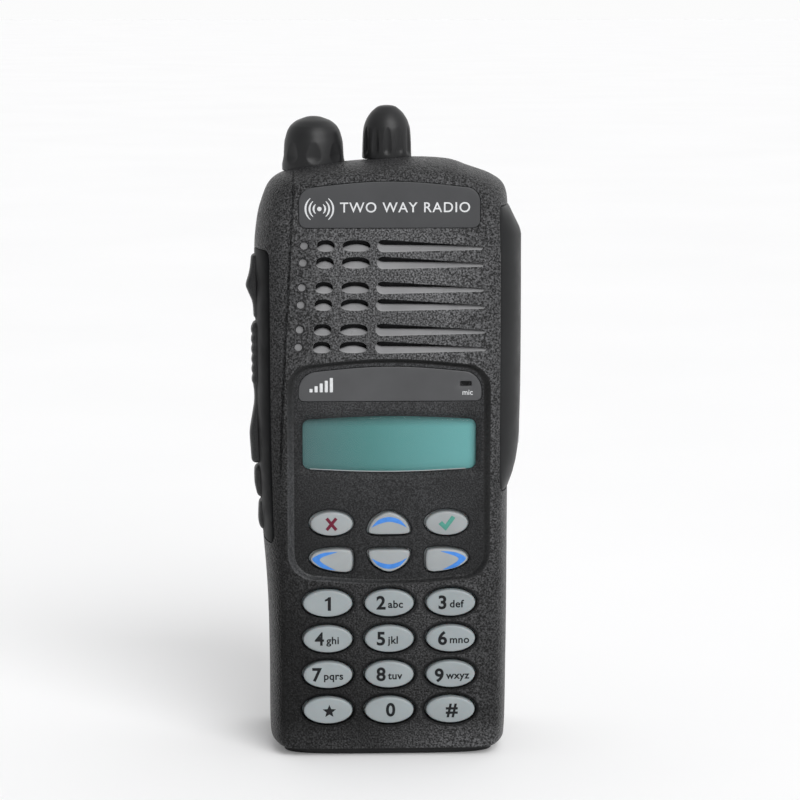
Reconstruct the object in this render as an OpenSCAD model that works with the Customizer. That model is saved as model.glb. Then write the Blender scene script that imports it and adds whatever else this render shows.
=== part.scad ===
// Handheld two-way radio with a display, an 18-key keypad, side controls, top
// controls and a clip-on battery. Millimetres. +X is to the right of someone
// facing the keypad, +Y runs from the keypad to the battery, +Z is up. The
// origin is on the base, under the middle of the display.

/* [Body] */
// Wall of the front housing
wall = 2; // [1.6:0.1:2.2]
// Depth of the front face in front of the origin
front_depth = 18; // [18:0.5:20]
// Depth of the battery behind the origin
battery_depth = 19.5; // [19.5:0.5:24]

/* [Keypad] */
// Width of a number key
key_w = 11.2; // [9:0.1:11.6]
// Height of a number key
key_h = 6.2; // [5:0.1:6.6]
// Distance between the key columns
key_pitch_x = 14.1; // [13:0.1:14.5]
// Distance between the number key rows
key_pitch_z = 8.42; // [8:0.01:8.6]
// Gap between a key and its hole
key_gap = 0.35; // [0.3:0.05:0.45]
// How far a key stands out of the housing
key_proud = 0.9; // [0.6:0.1:1.2]

/* [Controls] */
// Radius of the volume knob
volume_r = 7; // [6:0.1:7.2]
// Radius of the channel knob
channel_r = 5.4; // [4.8:0.1:6]
// Radius of a control shaft
shaft_r = 1.9; // [1.6:0.1:2.2]
// Radius of the antenna socket's thread
antenna_r = 3; // [2.6:0.1:3.2]

/* [Hidden] */

black = "#2b2c2e";
smooth_black = "#232427";
key_grey = "#b9c0c1";

// Planes across the depth of the radio
front_y = -front_depth;
inner_y = front_y + wall;
rim_y = 3;            // rear rim of the front housing
top_back_y = 15;      // back of the control top
bay_top = 114;        // roof of the battery bay
panel_sink = 0.9;     // depth of the recessed display panel
plate_sink = 0.5;     // depth of the two name plate pockets
key_travel = 0.7;
ptt_travel = 1.2;

// Places of the controls, as [x, y] on the top and [x, z] on the front
volume_at = [-16.7, -1.5];
channel_at = [0, -1.5];
antenna_at = [18, 1.5];
led_at = [9, 7.5];
top_button_at = [-8.2, 8.6];
volume_seat = 133.7;  // flat under each knob
channel_seat = 136.4;
antenna_seat = 132.6;
cavity_top = 131.2;   // the housing is solid above this height
top_slope = 0.1;      // fall of the top towards the back
speaker_at = [0.5, 107];
mic_at = [17.4, 87];

// ---- outlines -------------------------------------------------------------

// Outer outline of the front housing, [x, z], clockwise from the bottom centre
outer_points = [
    [0, 1.3], [-16, 1.3], [-24, 1.4], [-26.8, 2.3], [-27.5, 5.6], [-27.55, 20],
    [-27.75, 33], [-28.2, 42], [-28.9, 51], [-29.6, 62], [-30.2, 76], [-30.3, 102],
    [-30.45, 114], [-30.1, 121], [-28.9, 127.2], [-26, 132.8], [-19, 135.4],
    [-7, 136.6], [4, 137.4], [13.4, 137], [18.2, 135.5], [24, 133.3], [26.9, 130.3],
    [27.5, 123.5], [27.7, 112], [27.8, 95], [27.8, 75], [27.8, 55], [27.8, 35],
    [27.7, 20], [27.5, 5.6], [26.8, 2.3], [24, 1.4], [16, 1.3]];

// Edge of the front face, point for point with the outer outline
face_points = [
    [0, 2], [-14, 2], [-21, 2.1], [-23.4, 3], [-23.95, 6.4], [-23.9, 21],
    [-23.8, 33], [-23.7, 42], [-23.6, 51], [-23.5, 62], [-23.4, 82], [-23.4, 100],
    [-23.3, 112], [-22.9, 119.5], [-22, 125.6], [-19.4, 130.4], [-14, 132.2],
    [-6, 133.3], [3.5, 133.7], [11, 133.4], [17, 132.2], [21.5, 129.6], [23.4, 125.4],
    [24, 119], [24.2, 110], [24.2, 94], [24.2, 75], [24.2, 55], [24.2, 35],
    [24.1, 21], [24, 6.4], [23.4, 3], [21, 2.1], [14, 2]];

function unit(v) = v / norm(v);
function clamp(v, low, high) = min(max(v, low), high);

// A closed Catmull-Rom curve through the points, with steps pieces a span
function curve(points, steps) = let (n = len(points)) [
    for (i = [0 : n - 1], s = [0 : steps - 1])
        let (t = s / steps, a = points[(i + n - 1) % n], b = points[i],
            c = points[(i + 1) % n], d = points[(i + 2) % n])
            0.5 * (2 * b + (c - a) * t + (2 * a - 5 * b + 4 * c - d) * t * t
                + (3 * b - a - 3 * c + d) * t * t * t)];

// The outline moved inward by d, square to a core box well inside it
function inset(points, d) = [for (p = points)
    let (core = [clamp(p[0], -17, 17), clamp(p[1], 14, 120)]) p - d * unit(p - core)];

function blend(a, b, t) = [for (i = [0 : len(a) - 1]) a[i] * (1 - t) + b[i] * t];
function at_depth(points, y) = [for (p = points) [p[0], y, p[1]]];

// The outline with its top lowered by d, from the roof of the battery bay upwards
function lowered(points, d) = [for (p = points)
    [p[0], p[1] - d * clamp((p[1] - bay_top) / 20, 0, 1)]];

// Rounded outlines
function ellipse(rx, rz, n = 32) = [for (i = [0 : n - 1])
    [rx * cos(i * 360 / n), rz * sin(i * 360 / n)]];
function move(points, at) = [for (p = points) p + at];
// A centred outline made larger by d on every side
function grow(points, d) =
    let (w = max([for (p = points) p[0]]), h = max([for (p = points) p[1]]))
    [for (p = points) [p[0] * (1 + d / w), p[1] * (1 + d / h)]];

// A rounded rectangle whose top edge arches up by rise, with top corners of radius q
function arched(x0, x1, z0, z1, r, q, rise, n = 6) = concat(
    [for (i = [0 : n]) [x0 + r - r * sin(i * 90 / n), z0 + r - r * cos(i * 90 / n)]],
    [for (i = [0 : n]) [x0 + q - q * cos(i * 90 / n), z1 - q + q * sin(i * 90 / n)]],
    [for (i = [1 : 7]) let (u = i / 8)
        [x0 + q + u * (x1 - x0 - 2 * q), z1 + rise * sin(180 * u)]],
    [for (i = [0 : n]) [x1 - q + q * sin(i * 90 / n), z1 - q + q * cos(i * 90 / n)]],
    [for (i = [0 : n]) [x1 - r + r * cos(i * 90 / n), z0 + r - r * sin(i * 90 / n)]]);

// ---- solids from outlines -------------------------------------------------

// A closed solid through rings that have the same number of points, each end
// closed by a fan of triangles around the given middle point
module skin(rings, first_middle, last_middle) {
    n = len(rings[0]);
    m = len(rings);
    points = concat([for (ring = rings) each ring], [first_middle, last_middle]);
    sides = [for (i = [0 : m - 2], j = [0 : n - 1]) let (k = (j + 1) % n)
        each [[i * n + j, (i + 1) * n + k, i * n + k],
              [i * n + j, (i + 1) * n + j, (i + 1) * n + k]]];
    ends = [for (j = [0 : n - 1]) let (k = (j + 1) % n, last = (m - 1) * n)
        each [[m * n, j, k], [m * n + 1, last + k, last + j]]];
    polyhedron(points, concat(sides, ends));
}

// A front-view outline extruded from y0 to y1
module prism(points, y0, y1) {
    translate([0, y1, 0]) rotate([90, 0, 0]) linear_extrude(y1 - y0) polygon(points);
}

// A box from its low corner to its high corner
module block(low, high) {
    translate(low) cube(high - low);
}

// A cylinder that runs along Y
module disc(at, r, y0, y1, fn = 48) {
    translate([at[0], y1, at[1]]) rotate([90, 0, 0]) cylinder(r = r, h = y1 - y0, $fn = fn);
}

// A cylinder that runs along X, from x0 to x1
module bar(y, z, r, x0, x1) {
    translate([x0, y, z]) rotate([0, 90, 0]) cylinder(r = r, h = x1 - x0, $fn = 32);
}

// ---- front housing --------------------------------------------------------

round_steps = 4;      // rings around the front edge
middle_z = 70;        // half way up the body
round_from = 4;       // the front edge starts to round this far in front of Y = 0

outer = curve(outer_points, 2);
face = curve(face_points, 2);

// The body's skin, moved inward by d, from its rounded front to depth back
module body_skin(d, back) {
    rim = inset(outer, d);
    flat = inset(face, d);
    reach = front_depth - round_from - d;
    rings = [for (i = [round_steps : -1 : 0]) let (a = 90 * i / round_steps)
        at_depth(blend(rim, flat, 1 - cos(a)), -round_from - reach * sin(a))];
    last = back[len(back) - 1];
    skin(concat(rings, back), [0, d - front_depth, middle_z], [0, last[0][1], middle_z]);
}

panel = arched(-22.8, 22.9, 40.9, 91.4, 6, 5.6, 1.2);
name_pocket = arched(-20.3, 20.5, 122.2, 131.5, 1.8, 3.4, 1.3);
model_pocket = arched(-20.6, 21.1, 82.9, 89.9, 1.4, 4.5, 1.1);
window = arched(-19.6, 19.8, 66.7, 78.8, 1.8, 1.8, 0.7);

// Rows of the speaker grille: height, and how far the row fans out
grille_rows = [[118.45, 0], [114.65, 0.2], [109, 0.4], [105.15, 0.6], [99.5, 0.8],
    [95.5, 1]];
slot_half = 1.25;

function tapered_slot(x0, x1, z) = concat(
    [for (a = [90 : 30 : 270]) [x0 + slot_half + slot_half * cos(a),
        z + slot_half * sin(a)]],
    [[x1, z - 0.3], [x1, z + 0.3]]);

module grille() {
    for (row = grille_rows) {
        z = row[0];
        fan = row[1];
        disc([-19 - 1.4 * fan, z], 1, front_y - 1, inner_y + 1);
        prism(move(ellipse(2.05, slot_half, 16), [-14.2 - fan, z]), front_y - 1, inner_y + 1);
        prism(move(ellipse(3.2, slot_half, 20), [-7.3 - 0.8 * fan, z]), front_y - 1, inner_y + 1);
        prism(tapered_slot(-2.6 - 0.5 * fan, 20.8 + 0.9 * fan, z), front_y - 1, inner_y + 1);
    }
}

// Side recesses that hold the left bezel and the right connector cover
bezel_z = [50, 117];
cover_z = [62, 127];
recess_y = [-15.6, 1.6];
bezel_floor = -26.6;
cover_floor = 25.9;

module front_housing() {
    back = [for (r = [[0, rim_y], [0, 11], [0.8, 13.6], [2.6, top_back_y]])
        at_depth(lowered(inset(outer, r[0]), top_slope * (r[1] + round_from)), r[1])];
    cavity_back = [at_depth(inset(outer, wall), rim_y + 1)];
    color(black) difference() {
        union() {
            difference() {
                body_skin(0, back);
                intersection() {
                    body_skin(wall, cavity_back);
                    block([-40, -30, -1], [40, 30, cavity_top]);
                }
                // Battery bay
                block([-40, rim_y, -1], [40, 30, bay_top]);
                // Room inside the control top
                block([-23, 0, bay_top + wall], [22, 4.5, 131]);
                block([-19.5, 0, bay_top + wall], [19.5, 12.5, 131]);
            }
            // Inner walls behind the two side recesses
            block([bezel_floor, -16.1, 48], [bezel_floor + 1.6, 2.6, 119]);
            block([cover_floor - 1.8, -16.1, 60], [cover_floor, 2.6, 124]);
        }
        prism(panel, front_y - 1, front_y + panel_sink);
        prism(name_pocket, front_y - 1, front_y + plate_sink);
        prism(model_pocket, front_y, front_y + panel_sink + plate_sink);
        prism(window, front_y - 1, inner_y + 1);
        grille();
        for (k = keys) prism(move(grow(k[1], key_gap), k[2]), front_y - 1, inner_y + 1);
        // Microphone port
        block([mic_at[0] - 1.2, front_y, mic_at[1] - 0.5], [mic_at[0] + 1.2, inner_y + 1, mic_at[1] + 0.5]);
        // Groove down the left of the face
        block([-23.3, front_y - 0.1, 62], [-22.9, front_y + 0.35, 124]);
        // Side recesses and the openings through them
        block([-40, recess_y[0], bezel_z[0]], [bezel_floor, recess_y[1], bezel_z[1]]);
        block([-28, -7.5, 52], [-24, -2.5, 114]);
        block([cover_floor, recess_y[0], cover_z[0]], [40, recess_y[1], cover_z[1]]);
        block([22, -8, 70], [27, -1, 119]);
        // Top controls
        top_hole(volume_at, 3.1, volume_r + 0.5, volume_seat);
        top_hole(channel_at, 3.1, channel_r + 0.5, channel_seat);
        top_hole(antenna_at, 4.05, 5.2, antenna_seat);
        top_hole(led_at, 1.35, 1.6, 135.8);
        top_hole(top_button_at, 2.65, 3.2, 134.6);
        // Holes for the two screws that come up through the chassis
        for (x = screw_x) translate([x, screw_y, 0]) cylinder(r = 1.3, h = 8, $fn = 32);
        // Slot for the neck of the chassis foot
        block([-12.3, chassis_y - 0.3, 0], [12.3, rim_y + 1, 6]);
    }
}

// A hole through the top wall, with a flat seat around it
module top_hole(at, hole_r, seat_r, seat_z) {
    translate([at[0], at[1], 120]) cylinder(r = hole_r, h = 20, $fn = 48);
    translate([at[0], at[1], seat_z]) cylinder(r = seat_r, h = 10, $fn = 64);
}

module name_plate() {
    color(smooth_black) prism(arched(-20.2, 20.4, 122.3, 131.4, 1.7, 3.3, 1.3),
        front_y + 0.08, front_y + plate_sink);
}

module model_plate() {
    color(smooth_black) difference() {
        prism(arched(-20.5, 21, 83, 89.8, 1.3, 4.4, 1.1), front_y + panel_sink + 0.08,
            front_y + panel_sink + plate_sink);
        block([mic_at[0] - 1.2, front_y, mic_at[1] - 0.5], [mic_at[0] + 1.2, inner_y, mic_at[1] + 0.5]);
    }
}

// ---- display --------------------------------------------------------------

module display_lens() {
    color([0.75, 0.9, 0.9, 0.35]) {
        prism(arched(-19.5, 19.7, 66.8, 78.7, 1.7, 1.7, 0.7), front_y + panel_sink + 0.15, inner_y);
        prism(arched(-21, 21.2, 65, 80.4, 2, 2, 0.6), inner_y, inner_y + 0.8);
    }
}

module display_module() {
    color("#5aa3a4") block([-20.9, inner_y + 0.9, 64.8], [21.1, inner_y + 2, 80.6]);
    color("#d8d8d2") difference() {
        block([-22.6, inner_y + 2, 62.4], [22.6, inner_y + 4.8, 83.6]);
        block([-20, inner_y + 3.6, 66], [20, inner_y + 5, 80]);
    }
}

// ---- keypad ---------------------------------------------------------------

oval = ellipse(key_w / 2, key_h / 2);
nav_oval = ellipse(4.8, 2.75);
// Half ovals for the up and down keys, and pointed ovals for left and right
function half_oval(up) = curve([[-4.7, -1.6 * up], [-3.7, -2.4 * up], [0, -2.5 * up],
    [3.7, -2.4 * up], [4.7, -1.6 * up], [3.4, 1 * up], [0, 2.6 * up], [-3.4, 1 * up]], 4);
function pointed(side) = curve([[-4.8 * side, 0.3], [-3.6 * side, 1.9], [0, 2.65],
    [3.7 * side, 2.5], [4.65 * side, 1.5], [4.65 * side, -1.5], [3.5 * side, -2.65],
    [0, -2.3], [-3.2 * side, -1.3]], 4);

// Each key is [name, outline, place]
function key_row(z, names) = [for (i = [0 : 2]) [names[i], oval, [key_pitch_x * (i - 1), z]]];

nav_z = [54.85, 46.25];
nav_x = 13.15;
first_row = 36.45;
keys = concat(
    [["key_cancel", nav_oval, [-nav_x, nav_z[0]]],
     ["key_up", half_oval(1), [0, nav_z[0]]],
     ["key_confirm", nav_oval, [nav_x, nav_z[0]]],
     ["key_left", pointed(1), [-nav_x, nav_z[1]]],
     ["key_down", half_oval(-1), [0, nav_z[1]]],
     ["key_right", pointed(-1), [nav_x, nav_z[1]]]],
    key_row(first_row, ["key_1", "key_2", "key_3"]),
    key_row(first_row - key_pitch_z, ["key_4", "key_5", "key_6"]),
    key_row(first_row - 2 * key_pitch_z, ["key_7", "key_8", "key_9"]),
    key_row(first_row - 3 * key_pitch_z, ["key_star", "key_0", "key_hash"]));

flange_y = inner_y + 0.2;      // front of a key's flange
mat_y = flange_y + 2;
board_y = front_y + 7;
plunger_r = 1.5;
dome_gap = 0.5;                // from a plunger to the board when pressed

// One key: cap through the housing, flange behind it, and plunger to its dome
module key(k) {
    nav = k[2][1] > 40;
    color(nav ? "#d3d1d2" : key_grey) {
        prism(move(k[1], k[2]), front_y - key_proud + (nav ? panel_sink : 0), flange_y + 1);
        prism(move(grow(k[1], 0.7), k[2]), flange_y, flange_y + 1);
        disc(k[2], plunger_r, flange_y + 1, board_y - dome_gap - key_travel, 32);
    }
}

// A sheet that fills the front of the body up to the height top
module front_sheet(y0, y1, top) {
    intersection() {
        prism(inset(face, wall + 0.3), y0, y1);
        block([-40, y0 - 1, 0], [40, y1 + 1, top]);
    }
}

module keypad_mat() {
    color("#3b3c3e") difference() {
        front_sheet(mat_y, mat_y + 0.8, 60);
        for (k = keys) disc(k[2], plunger_r + 0.3, mat_y - 1, mat_y + 2, 32);
    }
}

module keypad_board() {
    color("#1f6b3a") difference() {
        front_sheet(board_y, board_y + 1.2, 84);
        for (x = [-19.5, 19.5], z = [15.5, 81]) disc([x, z], 1, board_y - 1, board_y + 2, 24);
    }
    color("silver") for (k = keys) disc(k[2], 2.2, board_y - 0.25, board_y, 32);
}

// ---- sound ----------------------------------------------------------------

module speaker() {
    // Basket and magnet, with the cone as a separate solid in it
    color("#55585c") translate([speaker_at[0], -9.4, speaker_at[1]]) rotate([90, 0, 0])
        rotate_extrude($fn = 96) polygon([[0, 0], [8, 0], [8, 2.4], [12, 2.6], [17.4, 4.6],
            [17.4, 6], [15.8, 6], [15.8, 5], [11.4, 3.4], [6, 3.2], [0, 3.2]]);
    color("#161616") translate([speaker_at[0], -9.4, speaker_at[1]]) rotate([90, 0, 0])
        rotate_extrude($fn = 96) polygon([[0, 4.7], [4.4, 3.8], [15.6, 5.6], [15.6, 5.9],
            [4.4, 4.4], [0, 5.4]]);
}

module speaker_felt() {
    color("#111112") block([-21.2, inner_y + 0.12, 92.4], [22, inner_y + 0.42, 120.2]);
}

module microphone() {
    color("#9a9a9a") disc(mic_at, 2.4, inner_y + 0.7, inner_y + 2.6, 40);
    // Rubber boot around the capsule, with a port in front
    color("#202020") difference() {
        disc(mic_at, 3.3, inner_y + 0.05, inner_y + 3, 40);
        disc(mic_at, 2.45, inner_y + 0.65, inner_y + 4, 40);
        disc(mic_at, 0.8, inner_y - 1, inner_y + 1, 24);
    }
}

// ---- chassis and boards ---------------------------------------------------

chassis_y = -1;
foot_h = 1.2;
foot_w = 24.3;        // half the width of the foot
foot_front = [-7, -15.4];   // where the foot's corners begin to round, and its front
screw_head_h = 0.55;
screw_x = [-18, 18];
screw_y = -4;

// Cuts what lies beyond the inner walls of the two side recesses
module recess_room() {
    block([-40, -20, 47.8], [bezel_floor + 1.7, 10, 119.2]);
    block([cover_floor - 1.9, -20, 59.8], [40, 10, 124.2]);
}

module chassis() {
    plate = inset(outer, wall + 0.35);
    color("#4b4d50") difference() {
        union() {
            intersection() {
                prism(plate, chassis_y, rim_y - 0.2);
                block([-40, -5, 4.8], [40, 10, 113.6]);
            }
            // Walls that hold the main board
            for (x = [-24.2, 22.8]) block([x, -8.6, 8], [x + 1.4, chassis_y, 46]);
            // Bosses for the two screws
            for (x = screw_x) block([x - 2.6, screw_y - 2.6, 4.9], [x + 2.6, chassis_y, 9.6]);
        }
        recess_room();
        // Notches for the latch arms, and pockets for the battery's lower tabs
        for (x = [-25.4, 21.4]) block([x, chassis_y - 1, 95], [x + 4, rim_y + 1, 112.4]);
        for (x = [-17, 11]) block([x, 0.6, 6.4], [x + 6, rim_y + 1, 11.4]);
        // Seat of the contact block
        block([-9.2, chassis_y - 1, 20], [9.2, rim_y + 1, 29]);
        // Shallow label pocket in the back
        block([-16, rim_y - 0.6, 44], [16, rim_y + 1, 84]);
        for (x = screw_x) translate([x, screw_y, 0]) cylinder(r = 1.05, h = 12, $fn = 32);
    }
    // Foot under the housing and the battery's edge
    color("#36373a") difference() {
        union() {
            linear_extrude(foot_h) polygon(concat([[foot_w, 5.4], [-foot_w, 5.4]],
                [for (i = [0 : 24]) let (a = 180 + i * 7.5, c = cos(a), s = -sin(a))
                    [foot_w * sign(c) * sqrt(abs(c)),
                        foot_front[0] + (foot_front[1] - foot_front[0]) * sqrt(s)]]));
            block([-12, chassis_y, foot_h - 0.3], [12, rim_y - 0.4, 5.2]);
        }
        for (x = screw_x) translate([x, screw_y, -1]) {
            cylinder(r = 1.3, h = 8, $fn = 32);
            cylinder(r = 2.4, h = 1.1 + screw_head_h, $fn = 32);
        }
    }
}

// A flat ring between the chassis and the housing's wall
module housing_seal() {
    inside = inset(outer, wall + 1.6);
    color("#16181a") difference() {
        intersection() {
            prism(inset(outer, wall + 0.3), chassis_y - 1.3, chassis_y - 0.05);
            block([-40, -5, 9.8], [40, 10, 113.9]);
        }
        intersection() {
            prism(inside, chassis_y - 3, chassis_y + 1);
            block([-23.5, -5, 11], [22.8, 10, 112.4]);
        }
        recess_room();
        // The walls beside the main board
        for (x = [-24.3, 22.7]) block([x, -9, 0], [x + 1.6, 1, 46.1]);
    }
}

module main_board() {
    color("#1d5e38") difference() {
        block([-22.4, -7.4, 10], [22.4, -6.2, 113]);
        for (x = [-19.5, 19.5], z = [14, 60, 108]) disc([x, z], 1.1, -9, -5, 24);
    }
    // Board-to-board socket that the keypad board plugs into
    color("#d9d2bd") block([-9, board_y + 1.2, 56], [9, -7.4, 60]);
}

module shield_cans() {
    color("#b9bcc0") {
        block([-20, -6.2, 16], [-1, -3.4, 44]);
        block([1.5, -6.2, 16], [20, -3.4, 38]);
        block([-20, -6.2, 47], [6, -3.8, 74]);
        block([8.5, -6.2, 62], [20, -3.8, 84]);
        block([-20, -6.2, 77], [6, -3.8, 105]);
    }
}

module contact_block() {
    color("#1c1d1f") difference() {
        block([-9, chassis_y - 1.4, 20.2], [9, rim_y - 0.3, 28.8]);
        for (x = [-6, 0, 6]) block([x - 1.5, 0.6, 21.6], [x + 1.5, rim_y + 1, 27.4]);
    }
}

module radio_contacts() {
    color("#d8b25a") for (x = [-6, 0, 6])
        difference() {
            block([x - 1.3, 0.65, 22.2], [x + 1.3, rim_y - 0.2, 26.8]);
            block([x - 2, 0, 23], [x + 2, rim_y - 0.8, 26]);
        }
}

module chassis_screws() {
    color("#8d8f92") for (x = screw_x) translate([x, screw_y, 0]) difference() {
        union() {
            translate([0, 0, 0.05]) cylinder(r = 2.2, h = screw_head_h, $fn = 32);
            translate([0, 0, 0.5]) cylinder(r = 1, h = 8.6, $fn = 32);
        }
        translate([0, 0, -0.1]) cylinder(r = 0.9, h = 0.45, $fn = 6);
    }
}

// ---- top controls ---------------------------------------------------------

knob_gap = 0.35;

// Rotary control under the top: body, and threaded bush through the wall
module rotary(at, w, top) {
    translate([at[0], at[1], 0]) difference() {
        union() {
            block([-w / 2, -w / 2, 121], [w / 2, w / 2, 130.4]);
            translate([0, 0, 130.4]) cylinder(r = 2.95, h = top - 130.4, $fn = 48);
        }
        translate([0, 0, 122]) cylinder(r = shaft_r + 0.05, h = 20, $fn = 48);
    }
}

module volume_switch() {
    color("#5f6266") rotary(volume_at, 10.4, volume_seat + 1.4);
}

module channel_switch() {
    color("#5f6266") rotary(channel_at, 10.4, channel_seat + 1.4);
}

module control_nuts() {
    color("#a9abae") for (c = [[volume_at, volume_seat], [channel_at, channel_seat]])
        translate([c[0][0], c[0][1], c[1]]) difference() {
            cylinder(r = 4.2, h = 1.1, $fn = 48);
            translate([0, 0, -1]) cylinder(r = 3, h = 4, $fn = 48);
            for (a = [0, 90]) rotate([0, 0, a]) block([-0.5, -5, 0.6], [0.5, 5, 2]);
        }
}

// A shaft from inside its switch up into the knob, with a flat for the knob
module control_shaft(at, top) {
    color("#c4c6c8") translate([at[0], at[1], 0]) difference() {
        translate([0, 0, 123]) cylinder(r = shaft_r, h = top - 123, $fn = 48);
        block([shaft_r - 0.6, -3, top - 5.5], [3, 3, top + 1]);
    }
}

// A knob turned from its side profile, bored for its shaft and for its nut
module knob(at, seat, profile, shaft_top, ribs, rib_at, rib_r) {
    color(smooth_black) translate([at[0], at[1], seat + knob_gap]) difference() {
        rotate_extrude($fn = 96) polygon(profile);
        translate([0, 0, -1]) cylinder(r = 4.5, h = 2.7, $fn = 48);
        difference() {
            translate([0, 0, -1]) cylinder(r = shaft_r, h = shaft_top - seat - knob_gap + 1,
                $fn = 48);
            block([shaft_r - 0.6, -3, shaft_top - seat - knob_gap - 5.5],
                [3, 3, shaft_top - seat - knob_gap + 1]);
        }
        for (i = [0 : ribs - 1]) rotate([0, 0, (i + 0.5) * 360 / ribs])
            translate([rib_at, 0, 1.6]) cylinder(r = rib_r, h = 20, $fn = 32);
    }
}

volume_shaft_top = 143;
channel_shaft_top = 144.6;

module volume_knob() {
    r = volume_r;
    knob(volume_at, volume_seat, [[0, 0], [r - 0.4, 0], [r, 0.5], [r - 0.05, 4], [r - 0.25, 6.5],
        [r - 0.65, 8.5], [r - 1.3, 10.1], [r - 2.3, 11.3], [r - 3.6, 12.1], [0, 12.4]],
        volume_shaft_top, 8, r + 3.2, 3.6);
}

module channel_knob() {
    r = channel_r;
    knob(channel_at, channel_seat, [[0, 0], [r - 0.3, 0], [r, 0.5], [r - 0.05, 3], [r - 0.25, 5.6],
        [r - 0.6, 7.6], [r - 1.2, 9.4], [r - 2.1, 10.8], [r - 3.5, 11.8], [0, 12.2]],
        channel_shaft_top, 12, r + 0.75, 1.15);
}

module volume_shaft() {
    control_shaft(volume_at, volume_shaft_top);
}

module channel_shaft() {
    control_shaft(channel_at, channel_shaft_top);
}

module antenna_bushing() {
    color("#c9a24a") translate([antenna_at[0], antenna_at[1], 0]) difference() {
        union() {
            translate([0, 0, antenna_seat]) cylinder(r = 4.9, h = 0.9, $fn = 64);
            translate([0, 0, 123]) cylinder(r = 4, h = antenna_seat - 122.9, $fn = 64);
        }
        translate([0, 0, 124.5]) cylinder(r = antenna_r, h = 20, $fn = 64);
    }
}

module status_led() {
    color("#c8d0c8") translate([led_at[0], led_at[1], 0]) {
        translate([0, 0, 130.9]) cylinder(r = 1.3, h = 5.2, $fn = 32);
        translate([0, 0, 130]) cylinder(r = 1.9, h = 0.9, $fn = 32);
    }
}

module top_button() {
    color("#d0581c") translate([top_button_at[0], top_button_at[1], 0]) {
        translate([0, 0, 130.9]) cylinder(r = 2.5, h = 4.3, $fn = 48);
        translate([0, 0, 129.9]) cylinder(r = 3.2, h = 1, $fn = 48);
    }
}

// ---- side controls --------------------------------------------------------

side_y = [-8.2, -1.4];   // front and back edge of the side buttons
side_gap = 0.3;
side_back = -27.6;       // inner face of the side buttons
side_travel = 0.7;
lip = 0.6;               // edges that hold a side button in the trim
ptt_z = [67.3, 99.9];
upper_z = [100.7, 115.4];
centre_z = [59.3, 66.5];
lower_z = [51.6, 58.5];
pivot = [-28.6, 69];       // [x, z] of the press-to-talk lever's trunnions
pivot_r = 0.8;

// Cross-section of the left trim, [x, y]: it follows the body round the corner
bezel_section = [[bezel_floor - 0.05, recess_y[0] + 0.1], [-27.2, recess_y[0] + 0.1],
    [-28.4, -13.6], [-29.4, -10.6], [-30.1, -6.8], [-30.4, -3], [-30.4, 0.6],
    [-29.6, recess_y[1] - 0.1], [bezel_floor - 0.05, recess_y[1] - 0.1]];

// Front-view profile of the left trim
bezel_profile = [[-25, bezel_z[0] + 0.1], [-25, bezel_z[1] - 0.1], [-30.4, bezel_z[1] - 0.1],
    [-30.3, 102], [-30.2, 76], [-29.6, 62], [-28.8, bezel_z[0] + 0.1]];

module side_bezel() {
    color(smooth_black) difference() {
        intersection() {
            linear_extrude(bezel_z[1] + 1) polygon(bezel_section);
            prism(bezel_profile, -20, 10);
        }
        for (z = [upper_z, ptt_z, centre_z, lower_z]) {
            block([-40, side_y[0] - side_gap, z[0] - side_gap],
                [-20, side_y[1] + side_gap, z[1] + side_gap]);
            if (z != ptt_z)
                block([-28.5, side_y[0] - lip - side_gap, z[0] - side_gap],
                    [-20, side_y[1] + lip + side_gap, z[1] + side_gap]);
        }
        disc([pivot[0], pivot[1]], pivot_r + 0.06, side_y[0] - 1.3, side_y[1] + 1.3, 32);
    }
}

// A side button from its front-view profile, held in by lips over the range z
module side_button(points, z) {
    color(smooth_black) {
        prism(points, side_y[0], side_y[1]);
        block([side_back - 0.6, side_y[0] - lip, z[0]], [side_back, side_y[1] + lip, z[1]]);
    }
}

module side_button_upper() {
    side_button([[side_back, upper_z[0]], [side_back, upper_z[1]], [-30.8, upper_z[1]],
        [-31.2, 114.9], [-31.4, 112.6], [-31.8, 110.6], [-32.4, 108.8], [-32.4, 107.9],
        [-31.9, 106.8], [-31, 104.6], [-30.7, upper_z[0]]], upper_z);
}

rib_pitch = 2.3;
module ptt_button() {
    x = side_back - (ptt_travel - side_travel);
    color(smooth_black) prism(concat(
        [[x, ptt_z[0]], [x, ptt_z[1]], [-30.5, ptt_z[1]]],
        [for (i = [0 : 5], s = [0, 1, 2]) let (z = 99.3 - rib_pitch * i)
            [s == 1 ? -31.35 : -31, z - s * rib_pitch / 2.6]],
        [[-30.6, 83.8], [-30.7, 81.4], [-31.2, 78.3], [-31.7, 75.4], [-31.8, 73.6],
            [-31.6, 71], [-31.4, ptt_z[0]]]), side_y[0], side_y[1]);
    color(smooth_black) disc(pivot, pivot_r, side_y[0] - 0.9, side_y[1] + 0.9, 32);
}

module side_button_middle() {
    side_button([[side_back, centre_z[0]], [side_back, centre_z[1]], [-30.6, centre_z[1]],
        [-30.8, 65.8], [-30.8, 62.8], [-30.5, 61], [-30.1, centre_z[0]]], centre_z);
}

module side_button_lower() {
    side_button([[side_back, lower_z[0]], [side_back, lower_z[1]], [-29.9, lower_z[1]],
        [-29.9, 56.5], [-30, 54.2], [-29.8, 52.8], [-29.3, lower_z[0]]], lower_z);
}

module side_switch_strip() {
    color("#303236") block([-26.5, -7.3, 52.2], [-24.9, -2.7, 113.8]);
}

// ---- accessory connector --------------------------------------------------

cover_screw_z = 74;
cover_screw_y = -4.6;

module accessory_connector() {
    color("#2a2b2d") difference() {
        block([22.4, -7.8, 70.2], [25.8, -2.5, 118.8]);
        bar(cover_screw_y, cover_screw_z, 1.3, 22.8, 27);
    }
    color("#d8b25a") for (i = [0 : 5], j = [0, 1])
        block([25.8, -7.2 + 2.4 * j, 84 + 5 * i], [25.95, -5.6 + 2.4 * j, 87 + 5 * i]);
}

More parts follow.
